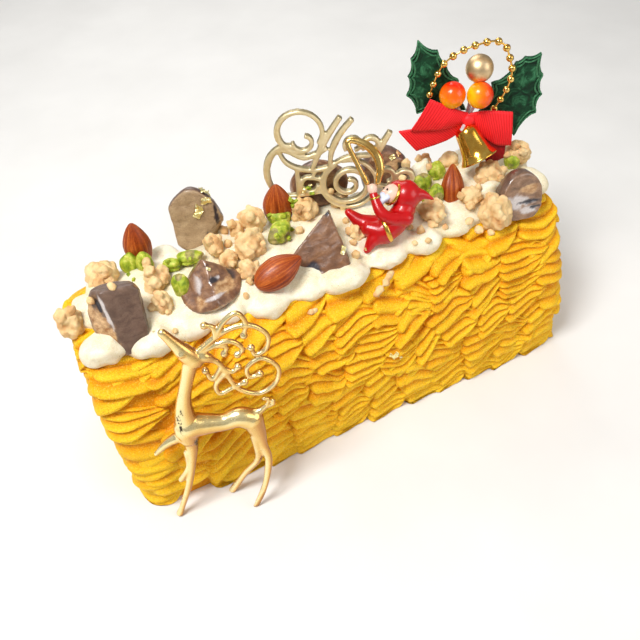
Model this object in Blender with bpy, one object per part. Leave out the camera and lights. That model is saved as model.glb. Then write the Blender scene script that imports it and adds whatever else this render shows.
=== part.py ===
"""Yule log cake: a piped cream log with a cream band, nut and crumble toppings, and holiday picks.

Lengths below are in millimetres and become metres through MM. The origin is the middle of the
log's flat base, +X runs along the log, -Y is its front side and +Z is up.
"""
import math
import random

import bmesh
import bpy
import numpy as np
from mathutils import Matrix, Vector, noise

MM = 0.001
GAP = 0.45
SOFT_GAP = 0.75

# Log: a dome section with a superellipse outline, covered in piped petals
LOG_HALF_LENGTH = 95.5
LOG_HALF_WIDTH = 39.5
LOG_HEIGHT = 72.5
DOME_POWER = 2.6
PETAL_DEPTH = 5.5
PETAL_ROWS_A_SIDE = 9
PETALS_ALONG = 8
OUTER_HALF_WIDTH = 44.0
OUTER_HEIGHT = 77.0

# Cream band along the top
BAND_HALF_WIDTH = 21.0
BAND_RISE = 2.0

# The picks face the front left
PICK_YAW = 25.5
SCROLL_THICKNESS = 2.6
BAR_THICKNESS = 2.0
WIRE_RADIUS = 0.7
BEAD_RADIUS = 1.6
BERRY_RADIUS = 5.4
RIBBON_THICKNESS = 1.5

GOLD = (0.83, 0.62, 0.25)
CHAMPAGNE = (0.78, 0.68, 0.45)
SHINY_RED = (0.72, 0.02, 0.02)


def material(name, colour, roughness, metallic=0.0):
    made = bpy.data.materials.get(name)
    if made is None:
        made = bpy.data.materials.new(name)
        made.use_nodes = True
        shader = made.node_tree.nodes["Principled BSDF"]
        shader.inputs["Base Color"].default_value = (*colour, 1.0)
        shader.inputs["Roughness"].default_value = roughness
        shader.inputs["Metallic"].default_value = metallic
        made.diffuse_color = (*colour, 1.0)
    return made


def start_scene():
    for old in list(bpy.data.objects):
        bpy.data.objects.remove(old, do_unlink=True)
    parts = bpy.data.collections.new("yule_log_cake")
    cutters = bpy.data.collections.new("cutters")
    for made in (parts, cutters):
        bpy.context.scene.collection.children.link(made)
    return parts, cutters


PARTS, CUTTERS = start_scene()


def place(origin, yaw=0.0, lean=0.0, roll=0.0):
    """A plane's frame: local X to the right, Y away from the viewer, Z up along the leaning plane."""
    turn = Matrix.Rotation(math.radians(-yaw), 4, "Z") @ Matrix.Rotation(math.radians(-lean), 4, "X")
    return Matrix.Translation(Vector(origin) * MM) @ turn @ Matrix.Rotation(math.radians(roll), 4, "Y")


def new_piece(name, bm, frame, collection=PARTS):
    """Turn a bmesh drawn in millimetres into an object placed by its matrix."""
    bmesh.ops.scale(bm, vec=(MM, MM, MM), verts=bm.verts)
    bmesh.ops.recalc_face_normals(bm, faces=bm.faces)
    mesh = bpy.data.meshes.new(name)
    bm.to_mesh(mesh)
    bm.free()
    piece = bpy.data.objects.new(name, mesh)
    piece.matrix_world = frame
    collection.objects.link(piece)
    return piece


def as_mesh(piece):
    """Replace an object by the mesh it evaluates to, with curve caps welded."""
    bpy.context.view_layer.update()
    evaluated = piece.evaluated_get(bpy.context.evaluated_depsgraph_get())
    mesh = bpy.data.meshes.new_from_object(evaluated)
    bm = bmesh.new()
    bm.from_mesh(mesh)
    bmesh.ops.remove_doubles(bm, verts=bm.verts, dist=1e-6)
    bmesh.ops.recalc_face_normals(bm, faces=bm.faces)
    bm.to_mesh(mesh)
    bm.free()
    name, frame, collection = piece.name, piece.matrix_world.copy(), piece.users_collection[0]
    bpy.data.objects.remove(piece, do_unlink=True)
    solid = bpy.data.objects.new(name, mesh)
    solid.matrix_world = frame
    collection.objects.link(solid)
    return solid


def tube(name, points, radii, frame, sides=1, flatten=1.0):
    """A POLY tube through points given as (x, z) or (x, y, z), with one radius or one a point."""
    if not hasattr(radii, "__len__"):
        radii = [radii] * len(points)
    widest = max(radii)
    curve = bpy.data.curves.new(name, "CURVE")
    curve.dimensions = "3D"
    curve.bevel_depth = widest * MM
    curve.bevel_resolution = sides
    curve.use_fill_caps = True
    spline = curve.splines.new("POLY")
    spline.points.add(len(points) - 1)
    for knot, point, radius in zip(spline.points, points, radii):
        x, y, z = point if len(point) == 3 else (point[0], 0.0, point[1])
        knot.co = (x * MM, y * MM, z * MM, 1.0)
        knot.radius = radius / widest
    piece = bpy.data.objects.new(name, curve)
    piece.matrix_world = frame
    CUTTERS.objects.link(piece)
    solid = as_mesh(piece)
    for vert in solid.data.vertices:
        vert.co.y *= flatten
    return solid


def smooth_path(points, steps=2):
    """Catmull-Rom points between the given ones, so that a tube or stroke bends evenly."""
    knots = [np.array(point, float) for point in points]
    knots = [2 * knots[0] - knots[1]] + knots + [2 * knots[-1] - knots[-2]]
    path = []
    for before, start, end, after in zip(knots, knots[1:], knots[2:], knots[3:]):
        for step in range(steps):
            t = step / steps
            path.append(0.5 * (2 * start + (end - before) * t
                               + (2 * before - 5 * start + 4 * end - after) * t ** 2
                               + (3 * start - before - 3 * end + after) * t ** 3))
    return [tuple(point) for point in path] + [tuple(knots[-2])]


def plate(name, outline, thickness, frame, collection=PARTS):
    """A flat outline in the local X-Z plane, filled and extruded to its thickness."""
    curve = bpy.data.curves.new(name, "CURVE")
    curve.dimensions = "2D"
    curve.fill_mode = "BOTH"
    curve.extrude = 0.5 * thickness * MM
    spline = curve.splines.new("POLY")
    spline.points.add(len(outline) - 1)
    spline.use_cyclic_u = True
    for knot, (x, z) in zip(spline.points, outline):
        knot.co = (x * MM, z * MM, 0.0, 1.0)
    piece = bpy.data.objects.new(name, curve)
    piece.matrix_world = frame @ Matrix.Rotation(math.radians(90), 4, "X")
    collection.objects.link(piece)
    return as_mesh(piece)


def ball(name, radius, frame, segments=10, rings=7, scale=(1, 1, 1), collection=PARTS):
    bm = bmesh.new()
    bmesh.ops.create_uvsphere(bm, u_segments=segments, v_segments=rings, radius=radius)
    bmesh.ops.scale(bm, vec=scale, verts=bm.verts)
    return new_piece(name, bm, frame, collection)


def open_places(bm):
    """Edges or vertices where the surface isn't one closed sheet."""
    return sum(not edge.is_manifold for edge in bm.edges) + sum(not vert.is_manifold for vert in bm.verts)


def is_closed(mesh):
    bm = bmesh.new()
    bm.from_mesh(mesh)
    bmesh.ops.remove_doubles(bm, verts=bm.verts, dist=1e-7)
    closed = len(bm.faces) > 0 and open_places(bm) == 0
    bm.free()
    return closed


def boolean(piece, operation, solver, cutter=None, collection=None):
    modifier = piece.modifiers.new("join", "BOOLEAN")
    modifier.operation = operation
    modifier.solver = solver
    if collection is None:
        modifier.object = cutter
    else:
        modifier.operand_type = "COLLECTION"
        modifier.collection = collection
    bpy.context.view_layer.update()
    evaluated = piece.evaluated_get(bpy.context.evaluated_depsgraph_get())
    mesh = bpy.data.meshes.new_from_object(evaluated)
    piece.modifiers.remove(modifier)
    return mesh


def combine(piece, operation, **operand):
    """Apply a Boolean with EXACT, or with MANIFOLD where EXACT leaves an open edge."""
    mesh = boolean(piece, operation, "EXACT", **operand)
    if not is_closed(mesh):
        mesh = boolean(piece, operation, "MANIFOLD", **operand)
    piece.data = mesh


ROOMS = {}


def fuse(name, pieces, gap=GAP):
    """Union loose shapes into one body named name, and keep a grown copy of each shape."""
    bpy.context.view_layer.update()
    ROOMS[name] = [grown_copy(piece, gap) for piece in pieces]
    group = bpy.data.collections.new(name + "_shapes")
    bpy.context.scene.collection.children.link(group)
    for piece in pieces[1:]:
        for holder in list(piece.users_collection):
            holder.objects.unlink(piece)
        group.objects.link(piece)
    first = pieces[0]
    combine(first, "UNION", collection=group)
    for piece in pieces[1:]:
        bpy.data.objects.remove(piece, do_unlink=True)
    bpy.data.collections.remove(group)
    first.name = name
    for holder in list(first.users_collection):
        holder.objects.unlink(first)
    PARTS.objects.link(first)
    keep_largest_body(first)
    return first


def welded(mesh):
    """The mesh with its shortest edges collapsed, as far as it stays closed."""
    for distance in (3e-5, 1e-5, 3e-6, 1e-6):
        bm = bmesh.new()
        bm.from_mesh(mesh)
        bmesh.ops.remove_doubles(bm, verts=bm.verts, dist=distance)
        bmesh.ops.dissolve_degenerate(bm, edges=bm.edges, dist=1e-7)
        if open_places(bm) == 0:
            return bm
        bm.free()
    bm = bmesh.new()
    bm.from_mesh(mesh)
    return bm


def keep_largest_body(piece):
    """Weld slivers and drop any loose scrap that a Boolean leaves."""
    bm = welded(piece.data)
    bmesh.ops.triangulate(bm, faces=bm.faces)
    unseen = set(bm.faces)
    bodies = []
    while unseen:
        queue = [unseen.pop()]
        body = []
        while queue:
            face = queue.pop()
            body.append(face)
            for edge in face.edges:
                for near in edge.link_faces:
                    if near in unseen:
                        unseen.discard(near)
                        queue.append(near)
        bodies.append(body)
    bodies.sort(key=lambda body: sum(face.calc_area() for face in body))
    scraps = [face for body in bodies[:-1] for face in body]
    bmesh.ops.delete(bm, geom=scraps, context="FACES")
    bm.to_mesh(piece.data)
    bm.free()


def grown_copy(piece, gap=GAP):
    """A copy pushed out along its normals, used to cut a pocket with clearance."""
    bm = bmesh.new()
    bm.from_mesh(piece.data)
    bmesh.ops.triangulate(bm, faces=bm.faces)
    bmesh.ops.recalc_face_normals(bm, faces=bm.faces)
    bm.normal_update()
    moves = []
    for vert in bm.verts:
        worst = min((vert.normal.dot(face.normal) for face in vert.link_faces), default=1.0)
        moves.append((vert, vert.normal * (gap * MM / max(worst, 0.45))))
    for vert, move in moves:
        vert.co += move
    mesh = bpy.data.meshes.new(piece.name + "_room")
    bm.to_mesh(mesh)
    bm.free()
    cutter = bpy.data.objects.new(piece.name + "_room", mesh)
    cutter.matrix_world = piece.matrix_world
    cutter.hide_render = True
    cutter.display_type = "WIRE"
    CUTTERS.objects.link(cutter)
    return cutter


def world_box(piece):
    corners = np.array([piece.matrix_world @ vert.co for vert in piece.data.vertices])
    return corners.min(axis=0), corners.max(axis=0)


# Share of its faces that a cut piece keeps; the cuts leave slivers that its form doesn't need
KEPT_FACES = {"piped_log": 0.56, "cream_band": 0.58, "crumble": 0.50, "pistachio": 0.62, "chestnut": 0.62,
              "almond": 0.68, "scroll_pick": 0.48, "deer": 0.64, "figurine": 0.64, "ribbon_bow": 0.70,
              "bead_chain": 0.70, "holly_leaf": 0.80, "berry": 0.78, "matte_ball": 0.78}


def make_room(pieces):
    """Cut each piece by the grown forms of the pieces listed before it, so that none overlap."""
    bpy.context.view_layer.update()
    for piece in pieces:
        if piece.name not in ROOMS:
            ROOMS[piece.name] = [grown_copy(piece)]
    bpy.context.view_layer.update()
    taken = []
    for piece in pieces:
        low, high = world_box(piece)
        for room, room_low, room_high in taken:
            if np.all(low < room_high) and np.all(room_low < high):
                combine(piece, "DIFFERENCE", cutter=room)
        keep_largest_body(piece)
        kept = next((share for start, share in KEPT_FACES.items() if piece.name.startswith(start)), 1.0)
        if kept < 1.0:
            slim(piece, kept)
        taken += [(room, *world_box(room)) for room in ROOMS[piece.name]]
    for room, _low, _high in taken:
        bpy.data.objects.remove(room, do_unlink=True)


def flatten_base(piece, tolerance=0.1):
    """Put the corners that belong to the base back on its plane."""
    for vert in piece.data.vertices:
        if abs(vert.co.z) < tolerance * MM:
            vert.co.z = 0.0


def finish_with(piece, colour, roughness, metallic=0.0):
    piece.data.materials.clear()
    piece.data.materials.append(material(piece.name + "_finish", colour, roughness, metallic))
    piece.data.shade_smooth()
    piece.data.set_sharp_from_angle(angle=math.radians(35))
    return piece


def dome_height(y, half_width=OUTER_HALF_WIDTH, height=OUTER_HEIGHT):
    return height * max(0.0, 1.0 - abs(y / half_width) ** DOME_POWER) ** (1.0 / DOME_POWER)


def on_top(x, y, lift):
    return (x, y, dome_height(y) + lift)


# Piped log

def arc_table():
    """Arc length, y and z along the core's section, from the front foot to the back foot."""
    angle = np.linspace(0.0, math.pi, 721)
    y = -LOG_HALF_WIDTH * np.sign(np.cos(angle)) * np.abs(np.cos(angle)) ** (2 / DOME_POWER)
    z = LOG_HEIGHT * np.abs(np.sin(angle)) ** (2 / DOME_POWER)
    length = np.concatenate([[0.0], np.cumsum(np.hypot(np.diff(y), np.diff(z)))])
    return length, y, z


def petal_rows(total_length):
    """Stations up the section as (distance, height, row): a lip, a shoulder and a valley a row."""
    pitch = 0.5 * total_length / PETAL_ROWS_A_SIDE
    lip_shape = ((0.0, 0.30), (0.24, 1.0), (0.66, 0.62))
    front = []
    for row in range(PETAL_ROWS_A_SIDE):
        for part, height in lip_shape:
            front.append(((row + part) * pitch, height, row))
    crown = [(0.5 * total_length, 0.25, PETAL_ROWS_A_SIDE)]
    back = [(total_length - distance, height, row + PETAL_ROWS_A_SIDE + 1)
            for distance, height, row in reversed(front)]
    return front + crown + back


def make_piped_log():
    draw = random.Random(11)
    length, arc_y, arc_z = arc_table()
    rows = petal_rows(length[-1])
    row_count = 2 * PETAL_ROWS_A_SIDE + 1
    row_shift = [(6.5 if row % 2 else -5.0) + draw.uniform(-3.0, 3.0) for row in range(row_count)]
    row_depth = [[draw.uniform(0.75, 1.15) for _ in range(PETALS_ALONG + 1)] for _ in range(row_count)]
    petal_length = 2 * LOG_HALF_LENGTH / PETALS_ALONG
    petal_shape = ((0.0, 0.18), (0.20, 0.92), (0.52, 1.0), (0.82, 0.55))
    end_shape = ((0.0, 1.0), (0.30, 0.15), (0.62, 1.0), (0.88, 0.6))
    columns = [(-LOG_HALF_LENGTH, inset, depth, 0) for inset, depth in end_shape]
    for petal in range(PETALS_ALONG):
        for part, depth in petal_shape:
            x = -LOG_HALF_LENGTH + (petal + part) * petal_length
            columns.append((x, 1.0, depth, petal))
    columns.append((LOG_HALF_LENGTH, 1.0, 0.3, PETALS_ALONG))
    columns += [(LOG_HALF_LENGTH, inset, depth, PETALS_ALONG) for inset, depth in reversed(end_shape)]

    bm = bmesh.new()
    grid = []
    for x, inset, column_depth, petal in columns:
        line = []
        for distance, row_height, row in rows:
            if inset == 0.0 and len(line) > len(rows) // 2:
                line.append(line[len(rows) - 1 - len(line)])
                continue
            y = float(np.interp(distance, length, arc_y))
            z = float(np.interp(distance, length, arc_z))
            ahead = min(distance + 1.0, length[-1])
            behind = max(distance - 1.0, 0.0)
            slope_y = float(np.interp(ahead, length, arc_y) - np.interp(behind, length, arc_y))
            slope_z = float(np.interp(ahead, length, arc_z) - np.interp(behind, length, arc_z))
            out = Vector((0.0, -slope_z, slope_y)).normalized()
            depth = PETAL_DEPTH * row_height * column_depth * row_depth[row][petal]
            if inset < 1.0:
                end = math.copysign(1.0, x)
                point = Vector((x + end * (1.5 + depth), y * inset, z * (0.97 + 0.03 * inset)))
            else:
                sway = math.sin(math.pi * (x + LOG_HALF_LENGTH) / (2 * LOG_HALF_LENGTH))
                point = Vector((x + row_shift[row] * sway, y, z)) + out * depth
            point.z = max(point.z, 0.0)
            if distance in (0.0, length[-1]):
                point.z = 0.0
            line.append(bm.verts.new(point))
        grid.append(line)
    for left, right in zip(grid, grid[1:]):
        for step in range(len(rows) - 1):
            bm.faces.new([left[step], right[step], right[step + 1], left[step + 1]])
    front_edge = [line[0] for line in grid]
    back_edge = [line[-1] for line in grid]
    bm.faces.new(front_edge + back_edge[-2:0:-1])
    bmesh.ops.triangulate(bm, faces=bm.faces)
    return finish_with(new_piece("piped_log", bm, Matrix()), (0.87, 0.50, 0.06), 0.55)


# Cream band with its dollops

# Each dollop: x and y of its middle, and its half width
FRONT_DOLLOPS = ((-95, -18, 10.0), (-80, -21, 9.5), (-62, -21, 9.5), (-48, -20, 8.0), (-34, -22.5, 9.5),
                 (-19, -23, 8.0), (-1, -21.5, 11.0), (19, -21, 9.0), (36, -19.5, 8.5), (52, -19.5, 8.5),
                 (68, -17, 8.0), (85, -15, 8.5))
BACK_DOLLOPS = ((-88, 20, 9.5), (-63, 21, 10.0), (-38, 20, 9.0), (-13, 21, 10.0), (12, 20, 9.0),
                (37, 21, 10.0), (62, 20, 9.5), (87, 19, 10.0))
END_DOLLOPS = ((-97, 1, 8.5), (97, -11, 8.5), (98, 5, 8.5), (-90, 9, 8.5))
DOLLOP_LEAN = 22.0
DOLLOP_SHAPE = (1.0, 0.98, 0.62)


def make_cream():
    section = [(y, dome_height(y) + BAND_RISE) for y in np.linspace(-BAND_HALF_WIDTH, BAND_HALF_WIDTH, 9)]
    section += [(y, dome_height(y) - 4.0) for y in np.linspace(BAND_HALF_WIDTH, -BAND_HALF_WIDTH, 5)]
    shapes = [plate("band", section, 2 * LOG_HALF_LENGTH - 4.0, place((0, 0, 0), yaw=-90), CUTTERS)]
    for index, (x, y, half_width) in enumerate(FRONT_DOLLOPS + BACK_DOLLOPS):
        side = math.copysign(1.0, y)
        frame = place(on_top(x, y, 0.0), lean=-side * DOLLOP_LEAN)
        frame = frame @ Matrix.Rotation(math.radians(6.0 * ((index % 3) - 1)), 4, "Z")
        shapes.append(ball("dollop", half_width, frame, 8, 6, DOLLOP_SHAPE, CUTTERS))
    for x, y, half_width in END_DOLLOPS:
        shapes.append(ball("dollop", half_width, place(on_top(x, y, 0.0)), 8, 6, (0.8, 1.1, 0.72), CUTTERS))
    return finish_with(fuse("cream_band", shapes, SOFT_GAP), (0.88, 0.82, 0.66), 0.45)


# Toppings

def lumpy(name, centre, radii, seed, roughness, subdivisions, turn=0.0, lump_size=5.0):
    """A rounded lump with uneven knobs."""
    bm = bmesh.new()
    bmesh.ops.create_icosphere(bm, subdivisions=subdivisions, radius=1.0)
    offset = Vector((seed * 7.3, seed * 3.1, seed * 5.7))
    for vert in bm.verts:
        direction = vert.co.normalized()
        knob = noise.noise(direction * (max(radii) / lump_size) * 1.6 + offset)
        vert.co = Vector([c * r for c, r in zip(direction, radii)]) * (1.0 + roughness * knob)
    return new_piece(name, bm, place(centre, yaw=turn))


def nut(name, frame, length, width, thickness):
    """An almond: a flattened teardrop, pointed at local +Z."""
    bm = bmesh.new()
    bmesh.ops.create_uvsphere(bm, u_segments=10, v_segments=8, radius=1.0)
    for vert in bm.verts:
        t = vert.co.z
        taper = 1.0 - 0.30 * max(t, 0.0) ** 1.5 - 0.05 * t
        vert.co = Vector((vert.co.x * 0.5 * width * taper, vert.co.y * 0.5 * thickness * taper,
                          t * 0.5 * length))
    return finish_with(new_piece(name, bm, frame), (0.42, 0.15, 0.06), 0.4)


def chestnut(name, frame, radii, cuts):
    """A rounded nut with flat cut faces; a cut is a point on the face and its outward normal."""
    bm = bmesh.new()
    bmesh.ops.create_icosphere(bm, subdivisions=3, radius=1.0)
    for vert in bm.verts:
        peak = 0.12 * max(vert.co.z, 0.0) ** 4
        vert.co = Vector((vert.co.x * radii[0], vert.co.y * radii[1], (vert.co.z + peak) * radii[2]))
    for point, normal in cuts:
        geometry = bm.verts[:] + bm.edges[:] + bm.faces[:]
        cut = bmesh.ops.bisect_plane(bm, geom=geometry, dist=1e-4, plane_co=point, plane_no=normal,
                                     clear_outer=True)
        rim = [item for item in cut["geom_cut"] if isinstance(item, bmesh.types.BMEdge)]
        bmesh.ops.contextual_create(bm, geom=rim)
    bmesh.ops.triangulate(bm, faces=bm.faces)
    return finish_with(slim(new_piece(name, bm, frame), 0.5), (0.30, 0.20, 0.13), 0.4)


def slim(piece, ratio):
    """Fewer faces, kept where the form bends."""
    modifier = piece.modifiers.new("slim", "DECIMATE")
    modifier.ratio = ratio
    bpy.context.view_layer.update()
    evaluated = piece.evaluated_get(bpy.context.evaluated_depsgraph_get())
    mesh = bpy.data.meshes.new_from_object(evaluated)
    piece.modifiers.remove(modifier)
    piece.data = mesh
    return piece


def make_chestnuts():
    return [
        chestnut("chestnut_1", place((-86.3, -15.4, 77.6), yaw=18, lean=24, roll=-12), (10.5, 8.5, 13.5),
                 (((0, -5.0, 0), (0.42, -0.9, 0)), ((-3, -5, 0), (-0.75, -0.66, 0)),
                  ((8, 0, 0), (1, 0.1, 0)))),
        chestnut("chestnut_2", place((-46.2, 21.7, 83.5), yaw=20, lean=8), (10.8, 8.5, 13.0),
                 (((0, -4.0, 0), (0, -1, 0)), ((0, 4.5, 0), (0, 1, 0)), ((-9.5, 0, 0), (-1, 0, 0)))),
        chestnut("chestnut_3", place((-52.5, -13.1, 81.0), yaw=-12, lean=38), (12.5, 9.0, 8.5),
                 (((0, -3.5, 0), (-0.1, -1, 0.2)), ((-8, 0, 2), (-0.8, 0, 0.6)))),
        chestnut("chestnut_4", place((-7.3, -13.6, 80.6), yaw=28, lean=40, roll=8), (12.5, 7.5, 17.0),
                 (((0, -4.0, 0), (0, -1, 0)), ((-8.5, 0, 2), (-0.9, 0, 0.42)),
                  ((0, 0, -13), (0.35, 0, -1)))),
        chestnut("chestnut_5", place((8.5, 20.0, 85.5), yaw=15, lean=15), (12.5, 8.0, 9.5),
                 (((0, -3.5, 0), (0, -1, 0)),)),
        chestnut("chestnut_6", place((40.0, 19.1, 80.8), yaw=20, lean=12, roll=-14), (11.0, 7.5, 12.0),
                 (((0, -4.0, 0), (0, -1, 0)), ((0, 5.0, 0), (0, 1, 0)))),
        chestnut("chestnut_7", place((82.7, -20.6, 78.1), yaw=14, lean=18), (10.2, 8.5, 11.0),
                 (((0, -3.5, 0), (0.1, -1, 0)), ((9, 0, 0), (1, 0, 0)), ((0, 0, -9), (0, 0, -1)))),
    ]


def make_almonds():
    return [
        nut("almond_1", place((-71.1, 20.0, 84.4), yaw=15, lean=4), 20.0, 11.0, 8.0),
        nut("almond_2", place((-12, 17, 84), yaw=20, lean=2), 20.0, 12.5, 8.0),
        nut("almond_3", place((-27, -18, 81), yaw=20, lean=48, roll=62), 20.5, 12.5, 8.0),
        nut("almond_4", place((59.3, -5.2, 81.2), yaw=-20, lean=20, roll=18), 20.5, 11.5, 8.5),
    ]


# Each pistachio piece: x, y, lift above the dome, half sizes
PISTACHIOS = ((-76, 16.5, 4.0, (3.9, 3.4, 5.8)), (-71, 12, 4.5, (3.4, 3.0, 5.2)),
              (-62, 5, 4.5, (3.6, 3.0, 3.0)), (-62.5, -8.5, 4.5, (3.5, 3.2, 6.2)),
              (-54.5, 6, 4.5, (5.6, 3.2, 2.8)), (-12.5, 15.5, 4.5, (5.4, 4.0, 4.2)),
              (-17.5, 2.5, 5.0, (6.4, 4.0, 4.2)), (50, 4, 4.5, (4.0, 3.6, 5.2)),
              (60, 8.5, 5.0, (3.8, 3.4, 4.4)), (51, -5.5, 4.0, (3.0, 3.4, 5.0)),
              (93, -1, 4.5, (3.8, 3.6, 4.0)))

# Each crumble clump: x, y, lift above the dome, half size, finer mesh for the large ones
CRUMBLES = ((-87.5, 14.5, 3.5, 7.6, 3), (-104, -4, 1.0, 6.2, 2), (-69.5, 0.5, 3.5, 6.0, 2),
            (-44, 7, 6.0, 5.2, 2), (-41.5, -2, 4.0, 4.8, 2), (-31.5, 0.5, 5.0, 7.8, 3),
            (-31.5, 15.5, 4.5, 4.4, 2), (-36, -10.5, 3.5, 4.8, 2), (-24.5, 15.5, 7.0, 6.2, 2),
            (-2.5, 11.5, 6.0, 5.8, 2), (-71, -11, 3.0, 4.5, 2), (44.5, -12.5, 4.0, 6.2, 2),
            (70, -21.5, 3.5, 8.6, 3), (78, -5.5, 5.0, 7.4, 3), (97, 0.5, 7.0, 6.4, 2),
            (63.5, -12.5, 4.5, 5.4, 2), (61.5, 20.5, 5.0, 5.2, 2), (11.5, -9, 2.5, 4.6, 2),
            (14, 12, 4.0, 5.0, 2), (71, 16, 3.0, 6.0, 2))


def make_pistachios():
    draw = random.Random(5)
    pieces = []
    for index, (x, y, lift, radii) in enumerate(PISTACHIOS, start=1):
        piece = lumpy(f"pistachio_{index}", on_top(x, y, lift), radii, index, 0.35, 2,
                      draw.uniform(-40, 40))
        pieces.append(finish_with(piece, (0.48, 0.55, 0.12), 0.5))
    return pieces


def make_crumbles():
    draw = random.Random(8)
    pieces = []
    for index, (x, y, lift, size, fineness) in enumerate(CRUMBLES, start=1):
        radii = [size * draw.uniform(0.85, 1.1) for _ in range(3)]
        piece = lumpy(f"crumble_{index}", on_top(x, y, lift), radii, index + 20, 0.55, fineness,
                      draw.uniform(0, 90), 4.5)
        pieces.append(finish_with(piece, (0.80, 0.55, 0.33), 0.85))
    return pieces


# Deer ornament, drawn on its own plane: X from the front hoof, Z up the leaning plane

DEER_FRAME = place((-92.5, -49.0, -0.7), yaw=14, lean=7)
DEER_FLATTEN = 0.62


def make_deer():
    thick = {
        "torso": ([(12.4, 44.8), (13.4, 51.1), (19.3, 50.6), (26.1, 49.5), (31.9, 50.6), (36.3, 48.0)],
                  [4.5, 6.2, 5.4, 4.8, 5.2, 4.6]),
        "neck": ([(13.4, 49.0), (13.5, 61.5), (16.5, 70.8), (19.8, 80.5)], [5.8, 4.2, 3.6, 3.6]),
        "head": ([(20.9, 81.5), (17.6, 87.1), (13.3, 95.3)], [4.2, 3.2, 1.7]),
        "ear": ([(21.0, 83.6), (24.8, 82.1), (28.7, 78.7)], [1.8, 2.4, 0.8]),
        "front_leg": ([(12.4, 45.9), (12.3, 36.4), (9.7, 26.9), (6.1, 15.1), (0.6, 2.2)],
                      [4.2, 2.6, 2.0, 1.7, 1.9]),
        "raised_leg": ([(10.4, 46.9), (4.5, 44.3), (-0.9, 39.6)], [3.0, 2.0, 1.4]),
        "raised_hoof": ([(10.3, 37.5), (9.2, 29.0), (5.2, 22.6)], [1.7, 1.5, 1.4]),
        "hind_leg": ([(36.3, 0, 48.0), (37.8, 0, 38.5), (38.8, 0, 29.0), (39.6, -0.5, 23.7),
                      (37.2, -2.2, 13.6), (31.9, -4.4, 2.2)], [5.0, 3.4, 2.2, 2.2, 1.6, 1.8]),
        "far_hind_leg": ([(36.8, 0, 39.6), (36.0, 1.4, 24.7), (29.7, 4.0, 14.2), (22.9, 6.2, 2.2)],
                         [3.0, 1.8, 1.6, 1.7]),
        "tail": ([(36.8, 49.5), (40.2, 51.6), (43.7, 55.8)], [2.4, 1.6, 0.9]),
    }
    antlers = {
        "upper": [(21.9, 84.1), (29.7, 89.7), (35.9, 92.4), (42.2, 91.8), (46.8, 86.6), (45.6, 80.8),
                  (41.7, 79.0), (40.7, 82.4)],
        "upper_tip": [(29.7, 89.7), (33.0, 95.1), (37.7, 98.1), (40.3, 93.7), (39.0, 88.2)],
        "small_tip": [(29.7, 89.7), (29.5, 94.0), (26.9, 95.3)],
        "inner": [(24.3, 84.6), (31.6, 87.1), (35.4, 86.1), (37.8, 82.6), (35.7, 80.4)],
        "inner_curl": [(28.7, 86.3), (32.5, 84.9), (31.4, 81.9)],
        "lower": [(24.3, 83.6), (29.1, 77.9), (31.0, 71.8), (33.9, 64.6), (40.7, 60.6), (47.0, 64.1),
                  (48.7, 71.3), (43.6, 76.9), (38.2, 73.9), (38.4, 69.2), (42.2, 69.8)],
        "lower_curl": [(29.6, 76.4), (25.7, 71.4), (23.9, 75.9)],
        "loop": [(30.6, 73.4), (26.4, 68.7), (27.1, 64.1), (31.7, 65.6), (36.4, 67.2)],
        "side_curl": [(30.1, 75.4), (32.8, 73.2), (35.1, 74.9)],
    }
    shapes = [tube(name, points, radii, DEER_FRAME, 1, DEER_FLATTEN)
              for name, (points, radii) in thick.items()]
    for index, (name, points) in enumerate(antlers.items()):
        fine = smooth_path(points, 2) if len(points) > 5 else points
        frame = DEER_FRAME @ Matrix.Translation((0.0, (0.11 * index - 0.4) * MM, 0.0))
        shapes.append(tube(name, fine, 1.1 + 0.03 * index, frame, 0, 0.9))
    return finish_with(fuse("deer", shapes), GOLD, 0.25, 1.0)


# Scrollwork pick: flat strokes in the pick's own plane, with generic curls

SCROLL_FRAME = place((13.0, 8.0, 78.0), yaw=PICK_YAW)


def stroke(name, points, widths):
    """A flat pen stroke: a centre line with a width at each point, as one plate."""
    line = [np.array(point, float) for point in points]
    left, right = [], []
    for index, point in enumerate(line):
        ahead = line[min(index + 1, len(line) - 1)]
        behind = line[max(index - 1, 0)]
        along = (ahead - behind) / np.linalg.norm(ahead - behind)
        across = np.array([-along[1], along[0]])
        width = float(np.interp(index, np.linspace(0, len(line) - 1, len(widths)), widths))
        left.append(tuple(point + 0.5 * width * across))
        right.append(tuple(point - 0.5 * width * across))
    return plate(name, left + right[::-1], SCROLL_THICKNESS, SCROLL_FRAME, CUTTERS)


def spiral(centre, start_radius, end_radius, start_degrees, sweep_degrees, count):
    """Points of a curl that tightens around its centre."""
    points = []
    for step in range(count):
        t = step / (count - 1)
        angle = math.radians(start_degrees + sweep_degrees * t)
        radius = start_radius + (end_radius - start_radius) * t
        points.append((centre[0] + radius * math.cos(angle), centre[1] + radius * math.sin(angle)))
    return points


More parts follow.
